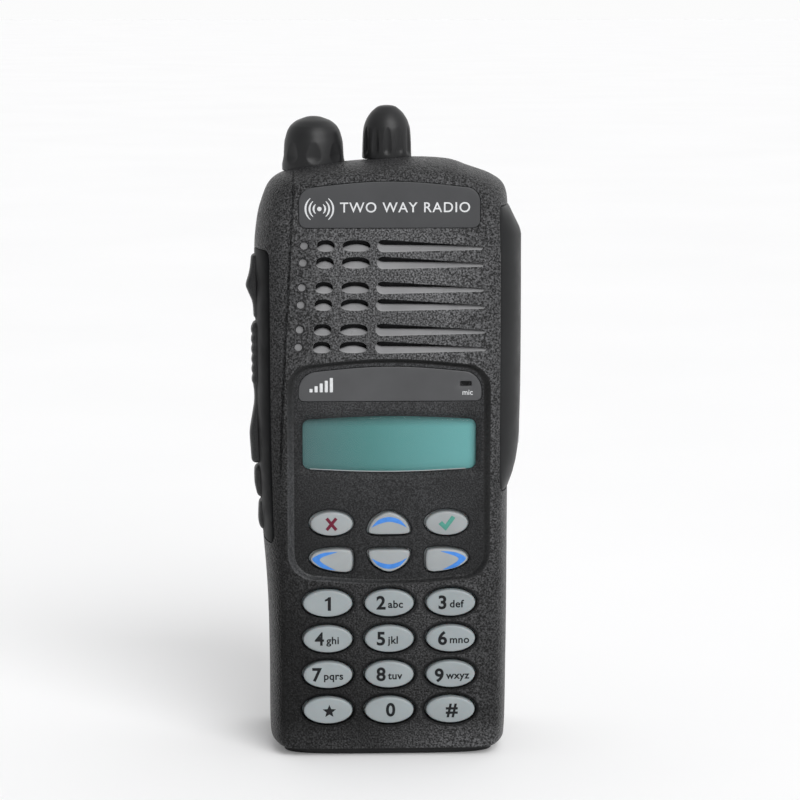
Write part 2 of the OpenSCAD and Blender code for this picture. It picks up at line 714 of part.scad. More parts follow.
// Front-view profile and cross-section of the cover
cover_profile = [[26, cover_z[0] + 0.15], [28, cover_z[0] + 0.15], [29.1, 65.2], [29.8, 68],
    [30.3, 71], [30.5, 74], [30.6, 80], [30.7, 119.8], [30.3, 121.3], [29.7, 122.6],
    [27.6, cover_z[1] - 0.15], [26, cover_z[1] - 0.15]];
cover_section = [[26.05, recess_y[0] + 0.1], [26.9, recess_y[0] + 0.1], [28.9, -11.4],
    [30.1, -8.6], [30.7, -5], [30.7, 0], [29.8, recess_y[1] - 0.1], [26.05, recess_y[1] - 0.1]];

module accessory_cover() {
    color(smooth_black) difference() {
        intersection() {
            prism(cover_profile, -20, 10);
            translate([0, 0, 50]) linear_extrude(90) polygon(cover_section);
        }
        bar(cover_screw_y, cover_screw_z, 1.22, 25, 32);
        bar(cover_screw_y, cover_screw_z, 3.3, 29.2, 32);
        block([25, -7.6, 82], [26.6, -2.2, 116]);
    }
}

module accessory_screw() {
    color("#7d7f83") difference() {
        union() {
            bar(cover_screw_y, cover_screw_z, 3, 29.3, 30.4);
            bar(cover_screw_y, cover_screw_z, 1.15, 23.2, 29.4);
        }
        block([29.9, cover_screw_y - 0.45, 70], [31, cover_screw_y + 0.45, 78]);
    }
}

// ---- battery --------------------------------------------------------------

battery_y = 3.3;
battery_top = bay_top - 0.4;
battery_points = [[0, 0.2], [-15, 0.2], [-24.8, 0.5], [-27.2, 3], [-27.5, 12], [-27.6, 50],
    [-27.6, 96], [-27.5, 111], [-26.2, battery_top], [-13, battery_top], [0, battery_top],
    [13, battery_top], [26.2, battery_top], [27.5, 111], [27.6, 96], [27.6, 50], [27.5, 12],
    [27.2, 3], [24.8, 0.5], [15, 0.2]];
latch_z = [98, 110];
latch_travel = 3;
cells_back = battery_depth - 3.9;

// The battery outline moved in from every side
function shrink(points, d) = [for (p = points)
    let (core = [clamp(p[0], -20, 20), clamp(p[1], 8, 106)]) p - d * unit(p - core)];

module battery_case() {
    color(black) difference() {
        skin([at_depth(battery_points, battery_y), at_depth(battery_points, battery_depth - 4.5),
            at_depth(shrink(battery_points, 0.8), battery_depth - 2),
            at_depth(shrink(battery_points, 2.2), battery_depth - 0.6),
            at_depth(shrink(battery_points, 4), battery_depth)],
            [0, battery_y, middle_z - 10], [0, battery_depth, middle_z - 10]);
        block([-24, battery_y - 1, 6], [24, cells_back, 108]);
        // Step that clears the foot of the chassis
        block([-40, battery_y - 1, -1], [40, 7.6, foot_h + 0.7]);
        // Tracks of the two latches, and slots for their arms
        for (side = [-1, 1]) {
            block([side < 0 ? -30 : 25.5, 7.8, latch_z[0] - latch_travel - 0.4],
                [side < 0 ? -25.5 : 30, 14.6, latch_z[1] + 0.4]);
            block([side < 0 ? -25.5 : 21.7, battery_y - 1, 96], [side < 0 ? -21.7 : 25.5, 12, 109.6]);
        }
        // Undercut pocket for a belt clip, in the back
        block([-9, battery_depth - 1.8, 66], [9, battery_depth + 1, 96]);
        block([-10.6, battery_depth - 1.8, 66], [10.6, battery_depth - 0.9, 92]);
        // Openings for the charging contacts
        for (x = [-9, 0, 9]) block([x - 2, battery_depth - 5, 14], [x + 2, battery_depth + 1, 18]);
    }
}

module battery_lid() {
    color("#303134") difference() {
        union() {
            block([-23.9, battery_y + 0.1, 6.1], [23.9, battery_y + 1.7, 107.9]);
            // Hooked tabs that go into the chassis
            for (x = [-16.7, 11.3]) block([x, 1, 7.2], [x + 5.4, battery_y + 0.2, 9.8]);
        }
        for (x = [-6, 0, 6]) block([x - 1.8, battery_y - 1, 21], [x + 1.8, battery_y + 2, 28]);
        for (x = [-24, 21.7]) block([x, battery_y - 1, 95.8], [x + 2.3, battery_y + 2, 109]);
    }
}

module battery_cells() {
    r = 4.6;
    color("#3f7fae") for (z = [9, 59]) hull() for (x = [-17, 17])
        translate([x, battery_y + 2.1 + r, z]) cylinder(r = r, h = 45, $fn = 32);
}

module battery_contacts() {
    color("#d8b25a") {
        for (x = [-6, 0, 6]) block([x - 1.6, battery_y + 0.3, 21.2], [x + 1.6, battery_y + 0.9, 27.8]);
        for (x = [-9, 0, 9]) block([x - 1.8, cells_back + 0.05, 14.2], [x + 1.8, battery_depth - 0.5, 17.8]);
    }
}

// A latch: thumb pad with grip ridges, and an arm towards the radio
module latch(side) {
    color(smooth_black) mirror([side < 0 ? 1 : 0, 0, 0]) {
        block([25.6, 8, latch_z[0]], [27.8, 14.4, latch_z[1]]);
        for (i = [0 : 4]) block([27.8, 8.6, latch_z[0] + 1.6 + 2 * i],
            [28.4, 13.8, latch_z[0] + 2.5 + 2 * i]);
        block([23.2, 8, 100], [25.6, 11.6, 106]);
        block([22, 1.4, 100], [23.2, 11.6, 106]);
    }
}

module battery_latch_left() {
    latch(-1);
}

module battery_latch_right() {
    latch(1);
}

// ---- nodes ----------------------------------------------------------------

front_housing();
side_bezel();
name_plate();
model_plate();
display_lens();
display_module();
keypad_mat();
keypad_board();
speaker();
speaker_felt();
microphone();
side_switch_strip();
chassis();
housing_seal();
main_board();
shield_cans();
volume_switch();
channel_switch();
control_nuts();
antenna_bushing();
status_led();
contact_block();
radio_contacts();
accessory_connector();
chassis_screws();
volume_knob();
volume_shaft();
channel_knob();
channel_shaft();
top_button();
side_button_upper();
ptt_button();
side_button_middle();
side_button_lower();
accessory_cover();
accessory_screw();
for (k = keys) key(k);
battery_case();
battery_lid();
battery_cells();
battery_contacts();
battery_latch_left();
battery_latch_right();
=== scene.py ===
"""Looks for a handheld two-way radio: detailed pieces, materials, light and camera around the CAD frame.

Lengths are millimetres in the frame shared with the CAD, and Mesh.data() turns them into metres. The
shaders work in metres.
"""

import math
from functools import partial, reduce

import bmesh
import bpy
import numpy as np
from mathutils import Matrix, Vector, geometry
from mathutils.bvhtree import BVHTree


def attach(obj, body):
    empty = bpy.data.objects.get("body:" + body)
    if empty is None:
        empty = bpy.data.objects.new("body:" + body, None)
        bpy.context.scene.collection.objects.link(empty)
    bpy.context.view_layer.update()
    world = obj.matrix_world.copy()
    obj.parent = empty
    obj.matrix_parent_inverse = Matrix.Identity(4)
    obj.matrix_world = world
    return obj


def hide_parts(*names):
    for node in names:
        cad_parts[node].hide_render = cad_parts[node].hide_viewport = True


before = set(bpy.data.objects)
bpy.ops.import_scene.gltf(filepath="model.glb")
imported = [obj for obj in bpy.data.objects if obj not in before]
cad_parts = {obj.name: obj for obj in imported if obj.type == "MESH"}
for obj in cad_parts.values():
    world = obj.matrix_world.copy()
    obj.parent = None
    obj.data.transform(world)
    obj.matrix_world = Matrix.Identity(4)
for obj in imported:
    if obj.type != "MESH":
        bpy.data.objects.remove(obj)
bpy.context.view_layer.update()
MM = 0.001
scene = bpy.context.scene

# ---- driving dimensions ----

FACE_Y = -18.0          # flat front of the housing
ROUND_Y = -4.0          # the front edge's rounding ends here
RIM_Y = 3.0             # rear rim of the front housing
BACK_Y = 15.0           # back of the control top
WALL = 2.0
BAY_TOP = 114.0         # roof of the battery bay
PANEL_SINK = 0.9
PLATE_SINK = 0.5
CROWN = 0.3             # how far the face falls back at its sides
CAVITY_TOP = 131.2      # the housing is solid above this height
TOP_SLOPE = 0.1         # fall of the top towards the back
PLATE_THICK = 0.4
WELD = 0.002            # points closer than this are joined
SMOOTH_ANGLE = 35       # edges sharper than this many degrees stay sharp

OUTER = [
    (0, 1.3), (-16, 1.3), (-24, 1.4), (-26.8, 2.3), (-27.5, 5.6), (-27.55, 20),
    (-27.75, 33), (-28.2, 42), (-28.9, 51), (-29.6, 62), (-30.2, 76), (-30.3, 102),
    (-30.45, 114), (-30.1, 121), (-28.9, 127.2), (-26, 132.8), (-19, 135.4),
    (-7, 136.6), (4, 137.4), (13.4, 137), (18.2, 135.5), (24, 133.3), (26.9, 130.3),
    (27.5, 123.5), (27.7, 112), (27.8, 95), (27.8, 75), (27.8, 55), (27.8, 35),
    (27.7, 20), (27.5, 5.6), (26.8, 2.3), (24, 1.4), (16, 1.3)]
FACE = [
    (0, 2), (-14, 2), (-21, 2.1), (-23.4, 3), (-23.95, 6.4), (-23.9, 21),
    (-23.8, 33), (-23.7, 42), (-23.6, 51), (-23.5, 62), (-23.4, 82), (-23.4, 100),
    (-23.3, 112), (-22.9, 119.5), (-22, 125.6), (-19.4, 130.4), (-14, 132.2),
    (-6, 133.3), (3.5, 133.7), (11, 133.4), (17, 132.2), (21.5, 129.6), (23.4, 125.4),
    (24, 119), (24.2, 110), (24.2, 94), (24.2, 75), (24.2, 55), (24.2, 35),
    (24.1, 21), (24, 6.4), (23.4, 3), (21, 2.1), (14, 2)]


# ---- outlines: arrays of [u, v] points ----

def catmull(points, steps, closed=True):
    """A smooth curve through the points."""
    p = np.array(points, float)
    n = len(p)
    spans = range(n if closed else n - 1)
    out = []
    for i in spans:
        a, b, c, d = (p[k % n] if closed else p[min(max(k, 0), n - 1)] for k in (i - 1, i, i + 1, i + 2))
        for s in range(steps):
            t = s / steps
            out.append(0.5 * (2 * b + (c - a) * t + (2 * a - 5 * b + 4 * c - d) * t ** 2
                              + (3 * b - a - 3 * c + d) * t ** 3))
    if not closed:
        out.append(p[-1])
    return np.array(out)


def inset_body(points, d):
    """A body outline moved in by d, square to a core box well inside it, as in the CAD."""
    core = np.stack([np.clip(points[:, 0], -17, 17), np.clip(points[:, 1], 14, 120)], 1)
    away = points - core
    return points - d * away / np.linalg.norm(away, axis=1)[:, None]


def lowered(points, y):
    """A body outline at the depth y: above the battery bay it falls towards the back."""
    out = np.array(points, float)
    fall = TOP_SLOPE * max(0, y - ROUND_Y)
    out[:, 1] -= fall * np.clip((out[:, 1] - BAY_TOP) / 20, 0, 1)
    return out


def resample(loop, step):
    """Splits the long edges of a closed loop."""
    out = []
    for a, b in zip(loop, np.roll(loop, -1, 0)):
        n = max(1, int(math.ceil(np.linalg.norm(b - a) / step)))
        out += [a + (b - a) * k / n for k in range(n)]
    return np.array(out)


def ccw(loop):
    x, y = loop[:, 0], loop[:, 1]
    area = np.sum(x * np.roll(y, -1) - np.roll(x, -1) * y)
    return loop if area > 0 else loop[::-1]


def offset(loop, d):
    """A counter-clockwise loop moved outward by d along its corner normals."""
    before = loop - np.roll(loop, 1, 0)
    after = np.roll(loop, -1, 0) - loop
    n1 = np.stack([before[:, 1], -before[:, 0]], 1) / np.maximum(np.linalg.norm(before, axis=1), 1e-9)[:, None]
    n2 = np.stack([after[:, 1], -after[:, 0]], 1) / np.maximum(np.linalg.norm(after, axis=1), 1e-9)[:, None]
    m = n1 + n2
    m /= np.maximum(np.linalg.norm(m, axis=1), 1e-9)[:, None]
    cos = np.clip(np.sum(m * n1, axis=1), 0.5, 1)
    return loop + m * (d / cos)[:, None]


def ellipse(u, v, ru, rv, n=72):
    a = np.arange(n) * 2 * math.pi / n
    return np.stack([u + ru * np.cos(a), v + rv * np.sin(a)], 1)


def rounded(u0, u1, v0, v1, r, rise=0.0, n=8, step=1.0, q=None, sag=0.0):
    """A rounded rectangle, counter-clockwise. Its top corners have the radius q, its top edge
    arches up by rise and its bottom edge bows down by sag."""
    q = r if q is None else q

    def corner(u, v, radius, start):
        angles = [math.radians(start + 90 * i / n) for i in range(n + 1)]
        return [(u + radius * math.cos(a), v + radius * math.sin(a)) for a in angles]

    def bow(ua, ub, v, height):
        return [(ua + (ub - ua) * k / 24, v + height * math.sin(math.pi * k / 24)) for k in range(1, 24)]

    pts = bow(u0 + r, u1 - r, v0, -sag) + corner(u1 - r, v0 + r, r, -90) + corner(u1 - q, v1 - q, q, 0)
    pts += bow(u1 - q, u0 + q, v1, rise) + corner(u0 + q, v1 - q, q, 90) + corner(u0 + r, v0 + r, r, 180)
    return resample(np.array(pts), step)


# ---- mesh making ----

class Mesh:
    """Collects points in millimetres and faces, and becomes one Blender object."""

    def __init__(self):
        self.points, self.faces, self.marks = [], [], []

    def add(self, points, faces, mark=0):
        base = len(self.points)
        self.points += [tuple(p) for p in points]
        self.faces += [tuple(base + i for i in f) for f in faces]
        self.marks += [mark] * len(faces)

    def strip(self, a, b, closed=True, mark=0):
        """Quads between two rows of points."""
        n = len(a)
        last = n if closed else n - 1
        self.add([*a, *b], [(i, (i + 1) % n, n + (i + 1) % n, n + i) for i in range(last)], mark)

    def rings(self, rows, closed=True, mark=0):
        for a, b in zip(rows, rows[1:]):
            self.strip(a, b, closed, mark)

    def fan(self, ring, middle, mark=0):
        n = len(ring)
        self.add([*ring, middle], [(i, (i + 1) % n, n) for i in range(n)], mark)

    def region(self, place, depth, boundary, holes=(), spacing=1.5, flip=False, mark=0):
        """Triangles that fill a boundary around its holes, placed at one depth."""
        loops = [boundary, *holes]
        pts = [p for loop in loops for p in loop]
        edges, start = [], 0
        for loop in loops:
            n = len(loop)
            edges += [(start + i, start + (i + 1) % n) for i in range(n)]
            start += n
        pts += list(grid_inside(boundary, holes, spacing))
        v, _, f, *_ = geometry.delaunay_2d_cdt([Vector(p) for p in pts], edges, [], 0, 1e-5)
        middles = np.array([[sum(v[i].x for i in t) / 3, sum(v[i].y for i in t) / 3] for t in f])
        keep = inside(middles, boundary)
        for h in holes:
            keep &= ~inside(middles, h)
        faces = [tuple(reversed(t)) if flip else tuple(t) for t, k in zip(f, keep) if k]
        self.add([place(p.x, p.y, depth) for p in v], faces, mark)

    def data(self, name):
        """The Blender mesh, with its seams welded and its faces turned outward."""
        mesh = bpy.data.meshes.new(name)
        mesh.from_pydata([tuple(c * MM for c in p) for p in self.points], [], self.faces)
        mesh.polygons.foreach_set("material_index", self.marks)
        bm = bmesh.new()
        bm.from_mesh(mesh)
        bmesh.ops.remove_doubles(bm, verts=bm.verts, dist=WELD * MM)
        bmesh.ops.dissolve_degenerate(bm, edges=bm.edges, dist=WELD * MM)
        bmesh.ops.recalc_face_normals(bm, faces=bm.faces)
        bm.to_mesh(mesh)
        bm.free()
        return mesh

    def build(self, name, materials, body, slot, replaces=(), angle=SMOOTH_ANGLE):
        return finish_piece(name, self.data(name), materials, body, slot, replaces, angle)

    def cutter(self):
        """A plain object for boolean()."""
        obj = bpy.data.objects.new("cutter", self.data("cutter"))
        scene.collection.objects.link(obj)
        return obj


def finish_piece(name, mesh, materials, body, slot, replaces=(), angle=SMOOTH_ANGLE):
    for m in materials if isinstance(materials, list) else [materials]:
        mesh.materials.append(m)
    shade(mesh, angle)
    piece = bpy.data.objects.new(name, mesh)
    scene.collection.objects.link(piece)
    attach(piece, body)
    if replaces:
        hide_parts(*([replaces] if isinstance(replaces, str) else replaces))
    return piece


def shade(mesh, angle=SMOOTH_ANGLE):
    mesh.polygons.foreach_set("use_smooth", [True] * len(mesh.polygons))
    mesh.set_sharp_from_angle(angle=math.radians(angle))


def inside(points, loop):
    """Which points lie inside a closed loop."""
    x, y = points[:, 0], points[:, 1]
    hit = np.zeros(len(points), bool)
    for (x0, y0), (x1, y1) in zip(loop, np.roll(loop, -1, 0)):
        if y0 != y1:
            cross = ((y0 > y) != (y1 > y)) & (x < (x1 - x0) * (y - y0) / (y1 - y0) + x0)
            hit ^= cross
    return hit


def far_from(points, loop, gap):
    """Which points keep a gap from every corner of a loop."""
    keep = np.ones(len(points), bool)
    for i in range(0, len(points), 4000):
        part = points[i:i + 4000]
        d = np.linalg.norm(part[:, None, :] - loop[None, :, :], axis=2).min(1)
        keep[i:i + 4000] = d > gap
    return keep


def grid_inside(boundary, holes, spacing):
    low, high = boundary.min(0), boundary.max(0)
    u, v = np.arange(low[0], high[0], spacing), np.arange(low[1], high[1], spacing * 0.87)
    g = np.array([(a + (spacing / 2 if k % 2 else 0), b) for k, b in enumerate(v) for a in u])
    if not len(g):
        return g
    keep = inside(g, boundary)
    for h in holes:
        keep &= ~inside(g, h)
    g = g[keep]
    for loop in [boundary, *holes]:
        if len(g):
            g = g[far_from(g, loop, spacing * 0.55)]
    return g


class Feature:
    """A pocket or a hole: rings blend from its mouth to its floor outline at the depths of its profile."""

    def __init__(self, mouth, floor, profile, through=False, inner=(), mark=0, floor_mark=None):
        self.mouth, self.floor, self.profile = mouth, floor, profile
        self.through, self.inner, self.mark = through, list(inner), mark
        self.floor_mark = mark if floor_mark is None else floor_mark


def add_sheet(mesh, place, boundary, features, depth=0.0, spacing=1.5, mark=0):
    """A surface with pockets and holes. Returns the outlines where holes reach the back."""
    mesh.region(place, depth, boundary, [f.mouth for f in features], spacing, mark=mark)
    through = []
    for f in features:
        rows = [[place(*(f.mouth[i] * (1 - s) + f.floor[i] * s), d) for i in range(len(f.mouth))]
                for s, d in f.profile]
        mesh.rings(rows, mark=f.mark)
        if f.through:
            through.append(f.floor)
        else:
            through += add_sheet(mesh, place, f.floor, f.inner, f.profile[-1][1], spacing, f.floor_mark)
    return through


def slab(place, boundary, features=(), edge=((0.3, 0), (0.1, 0.06), (0, 0.3)), thick=1.0, spacing=1.5, back=None,
         mesh=None):
    """Adds a closed plate to a mesh, or to a new one: its top sheet, its rounded edge and its back."""
    mesh = mesh or Mesh()
    top = offset(boundary, -edge[0][0])
    through = add_sheet(mesh, place, top, features, 0.0, spacing)
    rows = [[place(*p, d) for p in offset(boundary, -inset)] for inset, d in edge]
    back = back or place
    rows.append([back(*p, thick) for p in boundary])
    mesh.rings(rows)
    for f in (f for f in features if f.through):
        mesh.strip([place(*p, f.profile[-1][1]) for p in f.floor], [back(*p, thick) for p in f.floor], mark=f.mark)
    mesh.region(back, thick, boundary, through, max(spacing, 1.5), flip=True)
    return mesh


FILLET = ((0, 0), (0.3, 0.02), (0.6, 0.09), (0.82, 0.2), (0.95, 0.36), (1, 0.55))


def fillet(start=0.0, size=1.0, *then):
    """A rounded edge from depth start, followed by straight walls to the further depths."""
    return [(s, start + d * size) for s, d in FILLET] + [(1, d) for d in then]


def pocket(outline, gap, profile, **kind):
    """A feature whose mouth is wider than its floor by a gap."""
    return Feature(offset(outline, gap), outline, profile, **kind)


def boolean(piece, meshes):
    """Cuts closed meshes out of a piece."""
    cutters = [mesh.cutter() for mesh in meshes]
    for cutter in cutters:
        mod = piece.modifiers.new("cut", "BOOLEAN")
        mod.operation, mod.solver, mod.object = "DIFFERENCE", "EXACT", cutter
    bpy.context.view_layer.update()
    graph = bpy.context.evaluated_depsgraph_get()
    cut = bpy.data.meshes.new_from_object(piece.evaluated_get(graph))
    piece.modifiers.clear()
    old = piece.data
    piece.data = cut
    bpy.data.meshes.remove(old)
    for cutter in cutters:
        data = cutter.data
        bpy.data.objects.remove(cutter)
        bpy.data.meshes.remove(data)
    shade(piece.data)


def turned(at, profile, n=64):
    """A closed shape turned about a vertical axis at [x, y], from [r, z] points."""
    mesh = Mesh()
    rows = [[(*p, z) for p in ellipse(*at, r, r, n)] for r, z in profile]
    mesh.rings(rows)
    mesh.fan(rows[0][::-1], (*at, profile[0][1]))
    mesh.fan(rows[-1], (*at, profile[-1][1]))
    return mesh


def box_mesh(low, high):
    m = Mesh()
    (x0, y0, z0), (x1, y1, z1) = low, high
    m.add([(x0, y0, z0), (x1, y0, z0), (x1, y1, z0), (x0, y1, z0),
           (x0, y0, z1), (x1, y0, z1), (x1, y1, z1), (x0, y1, z1)],
          [(0, 3, 2, 1), (4, 5, 6, 7), (0, 1, 5, 4), (1, 2, 6, 5), (2, 3, 7, 6), (3, 0, 4, 7)])
    return m


# ---- materials ----

def add_node(tree, kind, **values):
    """Adds a shader node. Each value goes to the input of that name, with _ for a space, or to the property."""
    node = tree.nodes.new(kind)
    for key, value in values.items():
        socket = key.replace("_", " ")
        if socket not in node.inputs:
            setattr(node, key, value)
        elif isinstance(value, bpy.types.NodeSocket):
            tree.links.new(value, node.inputs[socket])
        else:
            node.inputs[socket].default_value = value
    return node


class Shader:
    """A procedural material on Principled BSDF, in the piece's own coordinates."""

    def __init__(self, name, color, rough, metallic=0.0, **sockets):
        self.material = bpy.data.materials.new(name)
        self.material.use_nodes = True
        self.tree = self.material.node_tree
        self.bsdf = self.tree.nodes["Principled BSDF"].inputs
        self.color = color
        sockets.update(Base_Color=(*color, 1), Roughness=rough, Metallic=metallic)
        for key, value in sockets.items():
            self.bsdf[key.replace("_", " ")].default_value = value
        self.coords = self.node("ShaderNodeTexCoord").outputs["Object"]
        self.last_normal = None

    def node(self, kind, **values):
        return add_node(self.tree, kind, **values)

    def set(self, **sources):
        """Links outputs to the inputs of Principled BSDF."""
        for key, output in sources.items():
            self.tree.links.new(output, self.bsdf[key.replace("_", " ")])

    def mapped(self, **values):
        return self.node("ShaderNodeMapping", Vector=self.coords, **values).outputs["Vector"]

    def noise(self, scale, detail=3.0, stretch=None):
        source = self.mapped(Scale=stretch) if stretch else self.coords
        return self.node("ShaderNodeTexNoise", Scale=scale, Detail=detail, Vector=source).outputs["Fac"]

    def cells(self, scale):
        return self.node("ShaderNodeTexVoronoi", feature="SMOOTH_F1", Scale=scale, Smoothness=0.35, Randomness=1.0,
                         Vector=self.coords).outputs["Distance"]

    def spread(self, value, low, high, start=0.0, end=1.0):
        """Low to high as the value goes from start to end."""
        return self.node("ShaderNodeMapRange", From_Min=start, From_Max=end, To_Min=low, To_Max=high,
                         Value=value).outputs["Result"]

    def tint(self, value, low, high, start=0.3, end=0.7):
        """Base colour times low to high as the value goes from start to end."""
        a, b = ((*[c * k for c in self.color], 1) for k in (low, high))
        self.set(Base_Color=self.node("ShaderNodeMix", data_type="RGBA", A=a, B=b,
                                      Factor=self.spread(value, 0, 1, start, end)).outputs["Result"])

    def axes(self):
        """The outputs X, Y and Z of a point, in metres."""
        return self.node("ShaderNodeSeparateXYZ", Vector=self.coords).outputs

    def math(self, operation, *values):
        """A Math node over sockets and numbers."""
        n = self.node("ShaderNodeMath", operation=operation)
        for value, socket in zip(values, n.inputs):
            if isinstance(value, bpy.types.NodeSocket):
                self.tree.links.new(value, socket)
            else:
                socket.default_value = value
        return n.outputs["Value"]

    def shades(self, *factors):
        """Base colour times the product of several factors."""
        self.tint(reduce(partial(self.math, "MULTIPLY"), factors), 0, 3, 0, 3)

    def gloss(self, value, low, high):
        self.set(Roughness=self.spread(value, low, high, 0.3, 0.7))

    def bump(self, value, height):
        """Adds relief of the given height in millimetres."""
        earlier = {"Normal": self.last_normal} if self.last_normal else {}
        self.last_normal = self.node("ShaderNodeBump", Strength=1.0, Distance=height * MM, Height=value,
                                     **earlier).outputs["Normal"]
        self.set(Normal=self.last_normal)


def grained_plastic(name, color, rough, grain, height, speckle=(0.3, 2.35), fade=None, specular=0.4):
    """Spark-eroded plastic: glossy grains over dark hollows. fade paints shade and light into the colour: it is how
    bright the lower left is against the upper right, and how much of that is across; the foot gets painted light, the
    top and the sides painted shade."""
    s = Shader(name, color, rough, Specular_IOR_Level=specular)
    factors = [s.spread(s.noise(90, 4), 0.85, 1.15, 0.3, 0.7),
               s.spread(s.noise(1250 / grain, 3), *speckle, 0.4, 0.66)]
    if fade:
        xyz = s.axes()
        # Painted shade and light by position: darker towards the lower left, away from the light at the upper right;
        # paler along the foot; darker at the top edge and at the sides, where the body turns from the light
        factors += [s.spread(s.math("MULTIPLY_ADD", xyz["X"], fade[1], xyz["Z"]), fade[0], 1, 0, 0.12),
                    s.spread(xyz["Z"], 3, 1, 0.003, 0.009),
                    s.spread(xyz["Z"], 1, 0.4, 0.124, 0.137),
                    s.spread(s.math("ABSOLUTE", xyz["X"]), 1.1, 0.55, 0.012, 0.03)]
    s.shades(*factors)
    s.gloss(s.noise(1100 / grain, 2), rough - 0.15, rough + 0.12)
    s.bump(s.cells(1000 / grain), -height)
    s.bump(s.noise(2400 / grain, 2), height * 0.4)
    return s.material


def ridge_painted_highlight(name, color, rough):
    """The panel's soft edge: brightest at its lower left, a painted highlight where the light catches it, with painted
    shade towards the right and the top.
    """
    s = Shader(name, color, rough, Specular_IOR_Level=0.3)
    xyz = s.axes()
    # Painted highlight at the lower left, painted shade towards the right and the top
    s.shades(s.spread(s.noise(2500, 3), 0.6, 1.5, 0.4, 0.66), s.spread(xyz["X"], 1, 0.3, -0.022, 0.004),
             s.spread(xyz["Z"], 1, 0.25, 0.068, 0.086))
    s.gloss(s.noise(240, 4), rough - 0.05, rough + 0.07)
    s.bump(s.cells(2000), -0.1)
    return s.material


def satin_plastic(name, color, rough, height=0.004, specular=0.4):
    s = Shader(name, color, rough, Specular_IOR_Level=specular)
    s.tint(s.noise(70, 4), 0.85, 1.18)
    s.gloss(s.noise(240, 4), rough - 0.05, rough + 0.07)
    s.bump(s.noise(5200, 2), height)
    return s.material


def metal(name, color, rough, stretch=(1, 1, 12), height=0.003):
    s = Shader(name, color, rough, metallic=1.0)
    s.tint(s.noise(120, 4), 0.85, 1.12)
    s.gloss(s.noise(600, 3, stretch), rough - 0.08, rough + 0.1)
    s.bump(s.noise(1800, 2, stretch), height)
    return s.material


def circuit_board(name):
    s = Shader(name, (0.012, 0.11, 0.05), 0.3)
    s.set(Base_Color=s.node(
        "ShaderNodeTexBrick", Scale=260, offset=0.5, Color1=(0.012, 0.11, 0.05, 1), Color2=(0.016, 0.15, 0.07, 1),
        Mortar=(0.35, 0.22, 0.08, 1), Mortar_Size=0.03,
        Vector=s.mapped(Rotation=(math.radians(90), 0, 0))).outputs["Color"])
    s.bump(s.noise(900, 2), 0.01)
    return s.material


def display_glass(name):
    """The reflective liquid crystal layer: a soft teal gradient with a faint dot grid, painted shadow under its frame
    and a faint glow of painted light.
    """
    # The faint emission paints light: it lifts the layer out of the recess's shade
    s = Shader(name, (0.1, 0.25, 0.24), 0.5, Emission_Strength=0.04)
    xyz = s.axes()
    ramp = s.node("ShaderNodeValToRGB", Fac=s.spread(xyz["X"], 0, 1, -0.021, 0.021))
    ramp.color_ramp.elements[0].color = (0.072, 0.165, 0.168, 1)
    ramp.color_ramp.elements[1].color = (0.18, 0.53, 0.53, 1)
    ramp.color_ramp.elements.new(0.4).color = (0.082, 0.29, 0.28, 1)
    wave = s.node("ShaderNodeTexWave", Scale=2200, bands_direction="X", wave_type="BANDS", Vector=s.coords)
    # Painted shadow: darker under the top and the right edge of its frame, where the recess's walls shade the layer
    edges = s.math("MAXIMUM", s.spread(xyz["Z"], 0, 1.3, 0.0768, 0.0792), s.spread(xyz["X"], 0, 1.0, 0.0182, 0.0198))
    color = s.node("ShaderNodeMix", data_type="RGBA", blend_type="MULTIPLY", A=ramp.outputs["Color"],
                   B=(0.6, 0.6, 0.6, 1),
                   Factor=s.math("ADD", edges, s.spread(wave.outputs["Fac"], 0.0, 0.06))).outputs["Result"]
    s.set(Base_Color=color, Emission_Color=color)
    s.gloss(s.noise(300, 2), 0.4, 0.55)
    return s.material


def clear_window(name):
    s = Shader(name, (0.02, 0.03, 0.03), 0.06, Alpha=0.12)
    s.gloss(s.noise(150, 3), 0.04, 0.1)
    s.bump(s.noise(60, 2), 0.004)
    return s.material


def felt(name, color):
    s = Shader(name, color, 0.9)
    s.tint(s.noise(2600, 3), 0.5, 1.6)
    s.bump(s.noise(3200, 3), 0.08)
    return s.material


def printed(name, color, rough=0.55):
    s = Shader(name, color, rough, Specular_IOR_Level=0.2)
    s.tint(s.noise(900, 3), 0.9, 1.1)
    s.gloss(s.noise(500, 2), rough - 0.08, rough + 0.08)
    return s.material


def key_plastic(name, color, rough):
    s = Shader(name, color, rough, Subsurface_Weight=0.08, Subsurface_Scale=0.0008)
    s.tint(s.noise(160, 4), 0.93, 1.06)
    s.gloss(s.noise(380, 3), rough - 0.06, rough + 0.08)
    s.bump(s.noise(3800, 2), 0.006)
    return s.material


